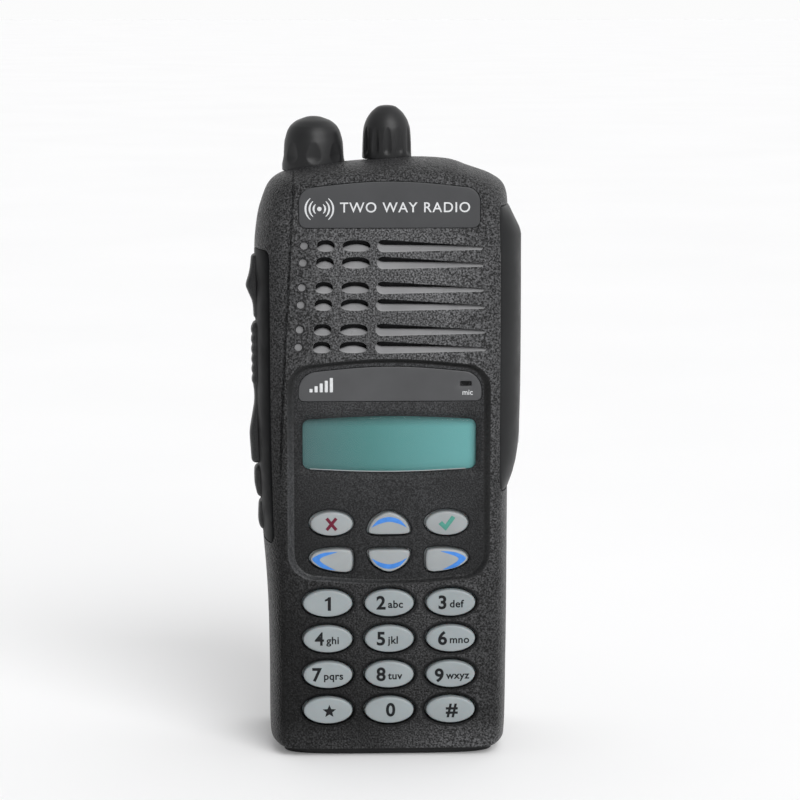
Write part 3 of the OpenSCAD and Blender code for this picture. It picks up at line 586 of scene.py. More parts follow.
M = {
    # The fade values (0.1, 1.2) and (0, 0.3) paint shade and light by position into the housing and the panel
    "housing": grained_plastic("housing_plastic", (0.064, 0.0645, 0.0665), 0.4, 0.5, 0.22, fade=(0.1, 1.2),
                               specular=0.15),
    "panel": grained_plastic("panel_plastic", (0.045, 0.0458, 0.048), 0.42, 0.4, 0.12, (0.5, 1.7), (0, 0.3), 0.15),
    # Pale slopes and dot floors of the grille: a painted highlight where the light from above catches them
    "slope": satin_plastic("grille_slope_highlight", (0.23, 0.23, 0.235), 0.3, 0.01),
    "ridge": ridge_painted_highlight("panel_ridge_painted_highlight", (0.034, 0.035, 0.037), 0.5),
    "satin": satin_plastic("satin_plastic", (0.014, 0.0144, 0.0151), 0.42, 0.004, 0.3),
    "trim": satin_plastic("trim_plastic", (0.004, 0.0043, 0.0048), 0.45, 0.004, 0.05),
    "cover": satin_plastic("cover_plastic", (0.013, 0.0134, 0.0141), 0.42, 0.004, 0.2),
    "label": satin_plastic("label_plastic", (0.06, 0.061, 0.064), 0.48, 0.01),
    "plate": satin_plastic("plate_plastic", (0.043, 0.044, 0.0465), 0.48, 0.01),
    "knob": satin_plastic("knob_plastic", (0.0145, 0.0147, 0.0155), 0.4, 0.004, 0.32),
    "rubber": grained_plastic("button_rubber", (0.011, 0.0113, 0.012), 0.5, 0.25, 0.012),
    "orange": satin_plastic("accent_orange", (0.6, 0.12, 0.02), 0.4),
    "window": clear_window("lens_clear"),
    "display": display_glass("display_panel"),
    "white": satin_plastic("display_frame", (0.6, 0.6, 0.58), 0.5),
    "key_white": key_plastic("key_white", (0.29, 0.31, 0.318), 0.42),
    "key_grey": key_plastic("key_grey", (0.265, 0.295, 0.305), 0.42),
    "silicone": satin_plastic("silicone", (0.03, 0.03, 0.032), 0.62),
    "board": circuit_board("circuit_board"),
    "cast": metal("die_cast", (0.3, 0.31, 0.32), 0.45, (1, 1, 1), 0.012),
    "steel": metal("plated_steel", (0.62, 0.63, 0.64), 0.28),
    "brass": metal("gold_brass", (0.83, 0.6, 0.26), 0.25),
    "wrap": satin_plastic("cell_wrap", (0.05, 0.2, 0.4), 0.3),
    "felt": felt("speaker_cloth", (0.008, 0.008, 0.009)),
    "ink": printed("ink_black", (0.007, 0.0075, 0.009)),
    "ink_white": printed("ink_white", (0.62, 0.63, 0.64)),
    "ink_blue": printed("ink_blue", (0.055, 0.21, 0.6)),
    "ink_red": printed("ink_red", (0.12, 0.01, 0.028)),
    "ink_green": printed("ink_green", (0.07, 0.26, 0.21)),
}


# ---- surfaces of the body ----

STEPS = 10
outer = catmull(OUTER, STEPS)
face = catmull(FACE, STEPS)


def face_depth(x):
    return FACE_Y + CROWN * (x / 24) ** 2


def on_front(x, z, depth):
    """A point at a depth below the crowned front face."""
    return (x, face_depth(x) + depth, z)


def sunk(by):
    """A place function that starts below the crowned front face."""
    return lambda x, z, d: on_front(x, z, d + by)


def level(y):
    """A place function over an upright plane."""
    return lambda x, z, d: (x, y + d, z)


def side_x(points, side, z):
    """Where an outline crosses the height z on one side (-1 left, 1 right)."""
    branch = points[(points[:, 0] * side > 0) & (points[:, 1] > 8) & (points[:, 1] < 136)]
    branch = branch[np.argsort(branch[:, 1])]
    return float(np.interp(z, branch[:, 1], branch[:, 0]))


ARC = FACE_Y * -1 + ROUND_Y     # depth of the rounded front edge
PER_DEGREE = ARC * math.pi / 180
ROUND_S = 90 * PER_DEGREE       # distance round the corner to the straight side


def side_s(y):
    """Distance round the corner, from the face's edge, to the depth y."""
    if y > ROUND_Y:
        return ROUND_S + y - ROUND_Y
    return (90 - math.degrees(math.asin((ROUND_Y - y) / ARC))) * PER_DEGREE


def on_side(side, s, z, depth):
    """A point below the body's side, at the distance s round from the face's edge."""
    xo, xf = side_x(outer, side, z), side_x(face, side, z)
    if s < ROUND_S:
        a = math.radians(90 - s / PER_DEGREE)
        x, y = xo + (xf - xo) * (1 - math.cos(a)), ROUND_Y - ARC * math.sin(a)
        n = Vector((side * math.cos(a) / abs(xo - xf), -math.sin(a) / ARC, 0)).normalized()
    else:
        x, y, n = xo, ROUND_Y + s - ROUND_S, Vector((side, 0, 0))
    return (x - n.x * depth, y - n.y * depth, z)


# ---- front housing ----

NAV_Z = (54.85, 46.25)
NAV_X = 13.15
KEY_GAP, KEY_MOUTH = 0.35, 0.68     # from a key to its hole, and from there to the rounded mouth
number_outline = ellipse(0, 0, 5.6, 3.1)


def half_oval(up):
    return ccw(catmull([(-4.7, -1.6 * up), (-3.7, -2.4 * up), (0, -2.5 * up), (3.7, -2.4 * up),
                        (4.7, -1.6 * up), (3.4, 1 * up), (0, 2.6 * up), (-3.4, 1 * up)], 10))


def pointed(side):
    return ccw(catmull([(-4.8 * side, 0.3), (-3.6 * side, 1.9), (0, 2.65), (3.7 * side, 2.5),
                        (4.65 * side, 1.5), (4.65 * side, -1.5), (3.5 * side, -2.65), (0, -2.3),
                        (-3.2 * side, -1.3)], 9))


nav_keys = [
    ("key_cancel", ellipse(0, 0, 4.8, 2.75), (-NAV_X, NAV_Z[0])),
    ("key_up", half_oval(1), (0, NAV_Z[0])),
    ("key_confirm", ellipse(0, 0, 4.8, 2.75), (NAV_X, NAV_Z[0])),
    ("key_left", pointed(1), (-NAV_X, NAV_Z[1])),
    ("key_down", half_oval(-1), (0, NAV_Z[1])),
    ("key_right", pointed(-1), (NAV_X, NAV_Z[1]))]
number_keys = [(name, number_outline, (14.1 * (i % 3 - 1), 36.45 - 8.42 * (i // 3))) for i, name in enumerate(
    ["key_1", "key_2", "key_3", "key_4", "key_5", "key_6", "key_7", "key_8", "key_9",
     "key_star", "key_0", "key_hash"])]


def key_hole(outline, at, start):
    return pocket(offset(outline, KEY_GAP) + at, KEY_MOUTH, fillet(start, 1.1, WALL), through=True, mark=1)


def slot_outline(x0, x1, z, half, tip, n=10):
    """A slot with a round left end and a narrower right end, counter-clockwise."""
    left = [(x0 + half - half * math.sin(math.pi * k / n), z + half * math.cos(math.pi * k / n))
            for k in range(n + 1)]
    right = [(x1 - tip + tip * math.sin(math.pi * k / n), z - tip * math.cos(math.pi * k / n))
             for k in range(n + 1)]
    return resample(np.array(left + right), 0.8)


SLOT_SLOPE = [(0, 0), (0.05, 0.03), (0.12, 0.12), (0.35, 0.42), (0.7, 0.82), (0.92, 1.05), (1, 1.3), (1, WALL)]


def scoop(x0, x1, z, half=1.4, tip=0.4, drop=0.6):
    """A long grille slot: an opening above, and a smooth slope from it down to the lower lip. It narrows and
    drops towards the right."""
    mouth = slot_outline(x0, x1, z, half, tip)
    high = mouth[:, 1].max()
    floor = mouth.copy()
    centre = (x0 + x1) / 2
    floor[:, 0] = centre + (mouth[:, 0] - centre) * (1 - 0.7 / (x1 - x0))
    floor[:, 1] = high - 0.1 - (high - mouth[:, 1]) * 0.44
    lean = np.clip((mouth[:, 0] - x0) / (x1 - x0), 0, 1)
    mouth[:, 1] -= drop * lean
    floor[:, 1] -= drop * lean
    # Mark 2 paints the slope pale: a painted highlight
    return Feature(mouth, floor, SLOT_SLOPE, through=True, mark=2)


def louvre(x0, x1, z, half=1.3):
    """A short grille slot: an oval whose arched opening runs over a smooth slope."""
    centre, reach = (x0 + x1) / 2, (x1 - x0) / 2
    a = np.arange(64) * 2 * math.pi / 64
    c, d = np.cos(a), np.sin(a)
    mouth = np.stack([centre + reach * np.sign(c) * np.abs(c) ** 0.8, z + half * np.sign(d) * np.abs(d) ** 0.9], 1)
    across = (mouth[:, 0] - centre) / reach
    arch = z + half - 1.1 - 0.8 * across ** 2
    floor = np.stack([centre + (mouth[:, 0] - centre) * 0.93,
                      np.where(d > 0, np.maximum(mouth[:, 1] - 0.12, arch + 0.03), arch)], 1)
    # Mark 2 paints the slope pale: a painted highlight
    return Feature(mouth, floor, SLOT_SLOPE, through=True, mark=2)


def dimple(x, z):
    """A blind dot at the left end of a grille row, with a floor set low in it, pale with a painted highlight."""
    mouth = ellipse(x, z, 1.2, 1.2, 40)
    floor = ellipse(x - 0.05, z - 0.1, 0.85, 0.8, 40)
    return Feature(mouth, floor, [(0, 0), (0.1, 0.05), (0.5, 0.45), (0.9, 0.85), (1, 0.9)], floor_mark=2)


def grille():
    rows = [(118.35, 0), (114.55, 0.2), (108.95, 0.4), (105.05, 0.6), (99.45, 0.8), (95.45, 1)]
    out = []
    for z, fan in rows:
        out.append(dimple(-19 - 1.4 * fan, z))
        out.append(louvre(-16.3 - fan, -12.1 - fan, z))
        out.append(louvre(-10.6 - 0.8 * fan, -4 - 0.8 * fan, z))
        out.append(scoop(-2.7 - 0.5 * fan, 21 + 0.9 * fan, z))
    return out


PANEL = rounded(-23.15, 23.05, 41.6, 91.6, 6.4, 1.2, q=5.7, sag=0.9)
NAME = rounded(-20.3, 20.5, 122.2, 131.5, 1.8, 1.3, q=3.4)
LABEL = rounded(-20.6, 21.1, 82.9, 89.9, 1.4, 1.1, q=4.5)
WINDOW = rounded(-19.6, 19.8, 67.3, 78.7, 1.6, 0.7, sag=0.65)
SURROUND = (np.array((0.1, 73.2)), np.array((1.07, 1.235)))    # middle and scale of the window's sloped edge
MIC = rounded(16.1, 18.7, 86.4, 87.5, 0.25)


def front_features():
    plate_floor = PANEL_SINK + PLATE_SINK
    mic = Feature(MIC, offset(MIC, -0.02), [(0, plate_floor), (1, WALL)], through=True)
    label = pocket(LABEL, 0.25, fillet(PANEL_SINK, 0.5, plate_floor), inner=[mic])
    slope = [(0, 0), (0.06, 0.02), (0.14, 0.1), (0.85, 0.78), (0.95, 0.9), (1, 1.1)]
    window = Feature(SURROUND[0] + (WINDOW - SURROUND[0]) * SURROUND[1], WINDOW,
                     [(t, PANEL_SINK + d) for t, d in slope], through=True)
    inner = [label, window] + [key_hole(o, at, PANEL_SINK) for _, o, at in nav_keys]
    floor = offset(PANEL, -1.05) * (0.978, 1)
    soft = [(t, PANEL_SINK * (1 - math.cos(math.pi * t)) / 2) for t in np.linspace(0, 1, 11)]
    panel = Feature(PANEL, floor, soft, inner=inner, mark=3, floor_mark=1)
    for f in inner:
        f.mark = 1
    name = pocket(NAME, 0.22, fillet(0, 0.4, PLATE_SINK))
    return [panel, name] + grille() + [key_hole(o, at, 0) for _, o, at in number_keys]


def ring3(points, y):
    return [(p[0], y if np.isscalar(y) else y[i], p[1]) for i, p in enumerate(points)]


def blend(a, b, t):
    return a * (1 - t) + b * t


def front_shell():
    mesh = Mesh()
    boundary = ccw(face)
    through = add_sheet(mesh, on_front, boundary, front_features())
    edge_y = np.array([face_depth(x) for x in face[:, 0]])
    rows = []
    for a in np.linspace(90, 0, 17):
        s = math.sin(math.radians(a))
        rows.append(ring3(blend(outer, face, 1 - math.cos(math.radians(a))), ROUND_Y - (ROUND_Y - edge_y) * s))
    rows += [ring3(lowered(outer, y), y) for y in (-1.5, 1, RIM_Y)]
    mesh.rings(rows)
    # The inside of the wall
    rim_in, face_in = inset_body(outer, WALL), inset_body(face, WALL)
    for loop in (rim_in, face_in):
        loop[:, 1] = np.minimum(loop[:, 1], CAVITY_TOP)
    mesh.region(on_front, WALL, ccw(face_in), through, 3, flip=True)
    inner_y = np.array([face_depth(x) + WALL for x in face_in[:, 0]])
    inside_rows = [ring3(blend(rim_in, face_in, 1 - math.cos(math.radians(a))),
                         ROUND_Y - (ROUND_Y - inner_y) * math.sin(math.radians(a))) for a in np.linspace(90, 0, 7)]
    inside_rows.append(ring3(rim_in, RIM_Y))
    mesh.rings(inside_rows)
    # The rim, the roof of the battery bay and the control top behind it
    upper, lower, upper_in, lower_in = split_at(outer, rim_in, BAY_TOP)
    mesh.strip(ring3(lower, RIM_Y), ring3(lower_in, RIM_Y), closed=False)
    mesh.region(level(RIM_Y), 0, ccw(np.array(upper_in)), spacing=3)
    back_rows = [ring3(lowered(upper, y), y) for y in (RIM_Y, 7, 11)]
    for a in np.radians(np.linspace(15, 90, 6)):
        y = 11 + (BACK_Y - 11) * math.sin(a)
        back_rows.append(ring3(lowered(inset_body(np.array(upper), 3.2 * (1 - math.cos(a))), y), y))
    mesh.rings(back_rows, closed=False)
    last = np.array([(p[0], p[2]) for p in back_rows[-1]])
    mesh.region(level(BACK_Y), 0, ccw(last), spacing=3, flip=True)
    left, right = sorted(([r[k] for r in back_rows] for k in (0, -1)), key=lambda side: side[0][0])
    ends = sorted((upper_in[0][0], upper_in[-1][0]))
    roof = [p[:2] for p in left] + [p[:2] for p in reversed(right)] + [(ends[1], RIM_Y), (ends[0], RIM_Y)]
    mesh.region(lambda x, y, d: (x, y, BAY_TOP), 0, ccw(np.array(roof)), spacing=3, flip=True)
    shell = mesh.build("front_shell", [M["housing"], M["panel"], M["slope"], M["ridge"]], "radio",
                       "housing_plastic", "front_housing")
    cut_shell(shell)


def split_at(loop, partner, z):
    """The open upper and lower stretches of a loop cut at the height z, with its partner's."""
    above = loop[:, 1] > z
    start = next(i for i in range(len(loop)) if above[i] and not above[i - 1])
    end = next(i for i in range(len(loop)) if above[i - 1] and not above[i])
    n = len(loop)

    def crossing(points, i):
        a, b = points[i - 1], points[i]
        t = (z - loop[i - 1][1]) / (loop[i][1] - loop[i - 1][1])
        p = a + (b - a) * t
        return np.array([p[0], z])

    def stretch(points, i, j):
        middle = [points[k % n] for k in range(i, j if j > i else j + n)]
        return np.array([crossing(points, i), *middle, crossing(points, j % n)])

    return stretch(loop, start, end), stretch(loop, end, start), stretch(partner, start, end), stretch(
        partner, end, start)


# ---- what is cut out of the front housing ----

SIDE_Y = (-8.2, -1.4)
PTT_Z, UPPER_Z, CENTRE_Z, LOWER_Z = (67.3, 99.9), (100.7, 115.4), (59.3, 66.5), (51.6, 58.5)
TRIM_Z = (50.0, 117.0)
TRIM_S = (side_s(-15.9), side_s(1.5))
COVER_Z = (62.0, 127.0)
COVER_S = (side_s(-17.2), side_s(1.5))
TRIM_DEPTH, COVER_DEPTH = 1.6, 1.1
SEAM = 0.14             # gap round the trim and the cover
WELL_GAP = 0.3          # gap round a side button in the housing


def side_patch(side, s, z, r, depth, proud):
    """A closed block over a patch of the body's side."""
    return slab(lambda u, v, d: on_side(side, u, v, d - proud), ccw(rounded(*s, *z, r)),
                edge=((0.1, 0), (0, 0.001)), thick=depth + proud, spacing=2)


def groove_cutter(shell):
    """A V groove from the shoulder down the left of the face."""
    line = catmull([(-21.2, 135.2), (-21.5, 131), (-22.0, 122.6), (-22.75, 108), (-23.5, 96), (-24, 86),
                    (-24.4, 77), (-24.65, 68), (-24.75, 61)], 6, closed=False)
    bm = bmesh.new()
    bm.from_mesh(shell.data)
    tree = BVHTree.FromBMesh(bm)
    rows = []
    for x, z in line:
        hit = tree.ray_cast(Vector((x * MM, -0.05, z * MM)), Vector((0, 1, 0)))[0]
        if hit is None:
            continue
        y = hit.y / MM
        fade = min(1, (z - 60.5) / 12)
        rows.append([(x - 0.6, y - 0.25, z), (x + 0.6, y - 0.25, z), (x, y + 0.1 + 0.42 * fade, z)])
    bm.free()
    mesh = Mesh()
    mesh.rings(rows)
    mesh.add(rows[0], [(0, 1, 2)])
    mesh.add(rows[-1], [(2, 1, 0)])
    return mesh


VOLUME_AT, CHANNEL_AT, ANTENNA_AT = (-16.7, -1.5), (0.0, -1.5), (18.0, 1.5)
VOLUME_SEAT, CHANNEL_SEAT = 133.7, 136.4
LED_AT, TOP_BUTTON_AT = (9.0, 7.5), (-8.2, 8.6)


def cut_shell(shell):
    cutters = [groove_cutter(shell),
               side_patch(-1, (TRIM_S[0] - SEAM, TRIM_S[1] + SEAM), (TRIM_Z[0] - SEAM, TRIM_Z[1] + SEAM), 2.6,
                          TRIM_DEPTH + 0.1, 3),
               side_patch(1, (COVER_S[0] - SEAM, COVER_S[1] + SEAM), (COVER_Z[0] - SEAM, COVER_Z[1] + SEAM), 3.1,
                          COVER_DEPTH + 0.1, 4),
               box_mesh((22, -8, 69.6), (29, -1, 119.4)),
               box_mesh((-12.3, -1.3, 0), (12.3, 4, 6))]
    for z in (PTT_Z, UPPER_Z, CENTRE_Z, LOWER_Z):
        cutters.append(box_mesh((-40, SIDE_Y[0] - WELL_GAP, z[0] - WELL_GAP),
                                (-25, SIDE_Y[1] + WELL_GAP, z[1] + WELL_GAP)))
    for at, r, lip in ((ANTENNA_AT, 5.2, 135.6), (LED_AT, 1.45, 135.8), (TOP_BUTTON_AT, 2.75, 135.0)):
        cutters.append(turned(at, [(r, 120), (r, lip - 0.5), (r + 0.4, lip), (r + 2.4, lip + 2)], 48))
    for at, r, seat in ((VOLUME_AT, 7.5, VOLUME_SEAT), (CHANNEL_AT, 5.9, CHANNEL_SEAT)):
        cutters.append(turned(at, [(3.1, 120), (3.1, seat), (r - 0.3, seat), (r, seat + 0.3), (r, 150)]))
    boolean(shell, cutters)


front_shell()


# ---- plates, lettering and marks ----

EDGE = ((0.25, 0), (0.1, 0.03), (0.02, 0.1), (0, 0.2))
on_badge, on_label, on_lens = sunk(0.02), sunk(PANEL_SINK + 0.02), sunk(PANEL_SINK + 0.25)


def plate(name, place, outline, material, slot, node=(), holes=(), edge=EDGE, thick=PLATE_THICK):
    """A closed plate of the radio body."""
    slab(place, outline, holes, edge, thick).build(name, M[material], "radio", slot, node)


def flat_mark(name, polygons, place, material, body, slot, lift=0.02, thick=0.03, spacing=0.6):
    """A thin mark from closed outlines: print, or the painted highlight along the display's lower edge."""
    mesh = Mesh()
    for loop in polygons:
        slab(lambda u, v, d: place(u, v, d - lift), ccw(resample(np.array(loop, float), 0.5)),
             edge=((0.012, 0), (0, 0.008)), thick=thick, spacing=spacing, mesh=mesh)
    mesh.build(name, material, body, slot)


SPLIT = 0.45    # letters are split this finely, so that they follow a crowned surface


def lettering(name, text, height, at, place, material, body, slot, align="CENTER", shear=0.0, spacing=1.0,
              weight=0.0, lift=0.02, thick=0.03):
    """Letters from the built-in font, laid on a surface."""
    curve = bpy.data.curves.new(name, "FONT")
    curve.body, curve.size, curve.align_x, curve.align_y = text, height / 0.72, align, "CENTER"
    curve.extrude, curve.shear, curve.space_character, curve.offset = 0.5, shear, spacing, weight
    curve.resolution_u = 6
    holder = bpy.data.objects.new(name, curve)
    scene.collection.objects.link(holder)
    bpy.context.view_layer.update()
    data = bpy.data.meshes.new_from_object(holder.evaluated_get(bpy.context.evaluated_depsgraph_get()))
    bpy.data.objects.remove(holder)
    bm = bmesh.new()
    bm.from_mesh(data)
    bmesh.ops.remove_doubles(bm, verts=bm.verts, dist=1e-4)
    for axis in (0, 1):
        low, high = min(v.co[axis] for v in bm.verts), max(v.co[axis] for v in bm.verts)
        normal = Vector((1 - axis, axis, 0))
        for k in np.arange(low + SPLIT, high, SPLIT):
            bmesh.ops.bisect_plane(bm, geom=bm.verts[:] + bm.edges[:] + bm.faces[:], plane_co=normal * float(k),
                                   plane_no=normal)
    for v in bm.verts:
        depth = -lift if v.co.z > 0 else thick - lift
        v.co = Vector(place(at[0] + v.co.x, at[1] + v.co.y, depth)) * MM
    bmesh.ops.recalc_face_normals(bm, faces=bm.faces)
    bm.to_mesh(data)
    bm.free()
    data.materials.clear()
    data.polygons.foreach_set("material_index", [0] * len(data.polygons))
    finish_piece(name, data, material, body, slot)


def arc_band(u, v, r, width, start, end, n=18):
    """The outline of a curved stroke with tapered ends."""
    far, near = [], []
    for k in range(n + 1):
        a = math.radians(start + (end - start) * k / n)
        w = width * (0.35 + 0.65 * math.sin(math.pi * k / n))
        far.append((u + (r + w / 2) * math.cos(a), v + (r + w / 2) * math.sin(a)))
        near.append((u + (r - w / 2) * math.cos(a), v + (r - w / 2) * math.sin(a)))
    return far + near[::-1]


def badge_marks():
    waves = [arc_band(-15.6, 126.6, r, 0.42, a, a + 100) for r in (1.3, 2.2, 3.1) for a in (-50, 130)]
    waves.append([tuple(p) for p in ellipse(-15.6, 126.6, 0.5, 0.5, 20)])
    flat_mark("badge_waves", waves, on_badge, M["ink_white"], "radio", "satin_plastic")
    lettering("badge_words", "TWO WAY RADIO", 2.3, (3.6, 126.8), on_badge, M["ink_white"], "radio", "satin_plastic",
              spacing=1.12, weight=0.02)


def label_marks():
    bars = [rounded(-18 + 1.15 * k, -17.3 + 1.15 * k, 85.1, 85.9 + 0.62 * k, 0.12, n=2) for k in range(5)]
    flat_mark("label_bars", bars, on_label, M["ink_white"], "radio", "satin_plastic")
    lettering("label_mic", "mic", 1.25, (17.8, 84.9), on_label, M["ink_white"], "radio", "satin_plastic",
              weight=0.01)


plate("badge_plate", on_badge, offset(NAME, -0.1), "plate", "satin_plastic", "name_plate")
plate("label_plate", on_label, offset(LABEL, -0.1), "label", "satin_plastic", "model_plate",
      [pocket(MIC, 0.12, [(0, 0), (0.5, 0.03), (1, 0.12)], through=True)])
badge_marks()
label_marks()


# ---- display ----

LENS_EDGE = ((0.35, 0), (0.15, 0.04), (0.03, 0.14), (0, 0.3))


def display_edge_highlight():
    """A painted highlight: a bright line along the lower edge of the display window, where the lens's edge catches the
    light.
    """
    low = WINDOW[(WINDOW[:, 1] < 67.6) & (np.abs(WINDOW[:, 0]) < 18.2)]
    low = low[np.argsort(low[:, 0])]
    flat_mark("display_edge_highlight", [np.vstack([low + (0, 0.1), low[::-1] + (0, 0.3)])], on_lens, M["key_white"], "radio",
              "lens_clear")


plate("display_window", on_lens, offset(WINDOW, -0.08), "window", "lens_clear", "display_lens", edge=LENS_EDGE,
      thick=0.8)
display_edge_highlight()
plate("display_panel", level(-15.1), rounded(-20.9, 21.1, 64.8, 80.6, 0.6), "display", "display_panel",
      "display_module", thick=1.1)
plate("display_tray", level(-13.9), rounded(-22.4, 22.4, 62.4, 83.6, 1.5), "white", "display_panel", thick=2.7)


# ---- keys ----

KEY_TOP = 0.9       # how far a number key stands out of the face
KEY_CROWN = 0.28


def key_cap(name, outline, at, sink, material):
    top = FACE_Y - KEY_TOP + sink
    reach = np.abs(outline).max(0)

    def crown(u, v, d):
        q = (u / reach[0]) ** 2 + (v / reach[1]) ** 2
        return (at[0] + u, top + KEY_CROWN * q + d, at[1] + v)

    mesh = Mesh()
    rows = [[crown(*(p * q), 0) for p in outline] for q in (0.15, 0.35, 0.55, 0.7, 0.82, 0.9)]
    rows += [[crown(*(p * q), d) for p in outline] for q, d in ((0.945, 0.05), (0.975, 0.14), (0.993, 0.3), (1, 0.5))]
    rows += [[(at[0] + p[0] * q, y, at[1] + p[1] * q) for p in outline]
             for q, y in ((1, -15.9), (1.1, -15.8), (1.11, -15.3), (1.1, -14.85), (0.29, -14.8), (0.27, -12.3))]
    mesh.rings(rows)
    mesh.fan(rows[0][::-1], crown(0, 0, 0))
    mesh.fan(rows[-1], (at[0], -12.3, at[1]))
    mesh.build(name + "_cap", M[material], name, material, name)
    return crown


LETTERS = {"2": "abc", "3": "def", "4": "ghi", "5": "jkl", "6": "mno", "7": "pqrs", "8": "tuv", "9": "wxyz"}


def number_legend(name, crown):
    figure = {"key_star": "*", "key_hash": "#"}.get(name, name[-1])
    letters = LETTERS.get(figure, "")
    x = {0: 0.3, 3: -1.9, 4: -2.6}[len(letters)]
    ink = (M["ink"], name, "key_grey")
    if figure == "*":
        star = [(r * math.sin(a) + x, r * math.cos(a) - 0.1) for a, r in
                ((math.pi * k / 5, (1.6, 0.72)[k % 2]) for k in range(10))]
        flat_mark(name + "_figure", [star], crown, *ink, spacing=0.4)
    elif figure == "1":
        # A bar with a flag at its top
        one = [(0.75, -1.6), (0.75, 1.6), (0.2, 1.6), (-0.2, 1.22), (-0.65, 1.02), (-0.65, 0.58), (0.02, 0.78),
               (0.02, -1.6)]
        flat_mark(name + "_figure", [one], crown, *ink, spacing=0.4)
    else:
        # The 9 is the 6 turned over, because the font's own is a different shape
        turned_over = figure == "9"
        lettering(name + "_figure", "6" if turned_over else figure, 3.1, (x, 0),
                  (lambda u, v, d: crown(2 * x - u, -v, d)) if turned_over else crown, *ink,
                  weight=0.08 if figure == "4" else 0.13)
    if letters:
        lettering(name + "_letters", letters, 1.75, (x + 1.6, -0.25), crown, *ink, align="LEFT", spacing=1.06,
                  weight=0.055)


def bar_mark(u, v, length, width, turn):
    """The outline of a straight stroke about a middle point."""
    c, s = math.cos(math.radians(turn)), math.sin(math.radians(turn))
    corners = [(-length / 2, -width / 2), (length / 2, -width / 2), (length / 2, width / 2), (-length / 2, width / 2)]
    return [(u + a * c - b * s, v + a * s + b * c) for a, b in corners]


def nav_legend(name, crown):
    def mark(outlines, ink):
        flat_mark(name + "_mark", outlines, crown, M[ink], name, "key_white")

    if name == "key_cancel":
        mark([bar_mark(0, 0, 3.5, 0.72, side * 51) for side in (-1, 1)], "ink_red")
    elif name == "key_confirm":
        mark([[(-1.9, -0.1), (-1.1, 0.62), (-0.35, -0.2), (1.15, 1.85), (1.95, 1.3), (-0.25, -1.7)]], "ink_green")
    elif name in ("key_up", "key_down"):
        up, shift = (1, 0) if name == "key_up" else (-1, 0.3)
        over = catmull([(-4.05, -0.85), (-2.35, 0.95), (0, 1.6), (2.35, 0.95), (4.05, -0.85)], 8, closed=False)
        under = catmull([(4.05, -0.9), (2.2, 0), (0, 0.5), (-2.2, 0), (-4.05, -0.9)], 8, closed=False)
        mark([np.vstack([over, under[1:-1]]) * (1, up) - (0, shift)], "ink_blue")
    else:
        side = 1 if name == "key_left" else -1
        over = catmull([(1.4, 2.15), (-1.5, 1.98), (-3.35, 1.32), (-4.4, 0.48), (-3.5, -0.6), (-1.85, -1.68),
                        (0.9, -2.2)], 8, closed=False)
        under = catmull([(0.9, -2.15), (-1.2, -1), (-2.35, -0.2), (-2.7, 0.4), (-2.05, 0.95), (-0.7, 1.45),
                         (1.4, 2.1)], 8, closed=False)
        mark([np.vstack([over, under[1:-1]]) * (side, 1)], "ink_blue")


for key, outline, at in number_keys:
    number_legend(key, key_cap(key, outline, at, 0.0, "key_grey"))
for key, outline, at in nav_keys:
    nav_legend(key, key_cap(key, outline, at, PANEL_SINK, "key_white"))


# ---- left trim and side buttons ----

def side_trim():
    holes = []
    for z in (PTT_Z, UPPER_Z, CENTRE_Z, LOWER_Z):
        hole = rounded(side_s(SIDE_Y[0] - 0.25), side_s(SIDE_Y[1] + 0.25), z[0] - 0.25, z[1] + 0.25, 1.3)
        holes.append(pocket(hole, 0.12, fillet(0, 0.3, 1.2), through=True))
    trim = slab(partial(on_side, -1), rounded(*TRIM_S, *TRIM_Z, 2.5), holes,
                ((0.5, 0), (0.25, 0.05), (0.07, 0.18), (0, 0.4)), TRIM_DEPTH, 1.3)
    trim.build("side_trim", M["trim"], "radio", "satin_plastic", "side_bezel")


def side_button(name, z, height, spacing=0.6, base=28.0):
    """A pad whose height above the middle plane follows the height function."""
    middle, half = (SIDE_Y[0] + SIDE_Y[1]) / 2, (SIDE_Y[1] - SIDE_Y[0]) / 2

    def place(y, v, d):
        if d >= 9:
            return (-base, y, v)
        return (-height(v) + 0.55 * abs((y - middle) / half) ** 2.5 + d, y, v)

    pad = slab(place, rounded(*SIDE_Y, *z, 1.15, step=spacing), thick=9, spacing=spacing,
               edge=((0.8, 0), (0.45, 0.08), (0.2, 0.26), (0.05, 0.55), (0, 0.9)))
    pad.build(name + "_pad", M["rubber"], name, "button_rubber", name, angle=50)


def through_points(points):
    dense = catmull(points, 8, closed=False)
    return lambda v: float(np.interp(v, dense[:, 0], dense[:, 1]))


def side_buttons():
    side_button("side_button_upper", UPPER_Z, through_points([(100, 30.7), (102.5, 30.75), (104.6, 31), (106.8, 31.9),
                (107.9, 32.35), (108.8, 32.35), (110.6, 31.8), (112.6, 31.4), (115, 31.15), (116, 30.9)]))
    bulge = through_points([(66, 31.35), (68, 31.45), (71, 31.65), (73.6, 31.8), (75.4, 31.7), (78.3, 31.2),
                            (81.4, 30.72), (83.8, 30.7), (87, 30.95), (101, 31.05)])
    pitch = 2.3

    def ribbed(z):
        if not 85.2 < z < 99.4:
            return bulge(z)
        return bulge(z) + 0.32 * abs(math.sin(math.pi * (z - 85.5) / pitch)) ** 0.8 - 0.03

    side_button("ptt_button", PTT_Z, ribbed, 0.35)
    side_button("side_button_middle", CENTRE_Z, through_points([(58, 29.9), (59.3, 30.1), (61, 30.5), (62.8, 30.8),
                (65.8, 30.8), (67, 30.5)]))
    side_button("side_button_lower", LOWER_Z, through_points([(51, 29.2), (52.8, 29.8), (54.2, 30), (56.5, 29.95),
                (58.5, 29.8), (59.5, 29.7)]))


side_trim()
side_buttons()


# ---- connector cover and its screw ----

COVER_RISE = np.array([(62.2, 0.1), (65.2, 1.2), (68, 1.9), (71, 2.35), (75, 2.65), (85, 2.85), (116, 2.9),
                       (120.2, 2.95), (121.4, 2.7), (126.9, 0.15)])     # height of the cover's ridge up its length
SCREW_Y, SCREW_Z = -4.6, 74.0


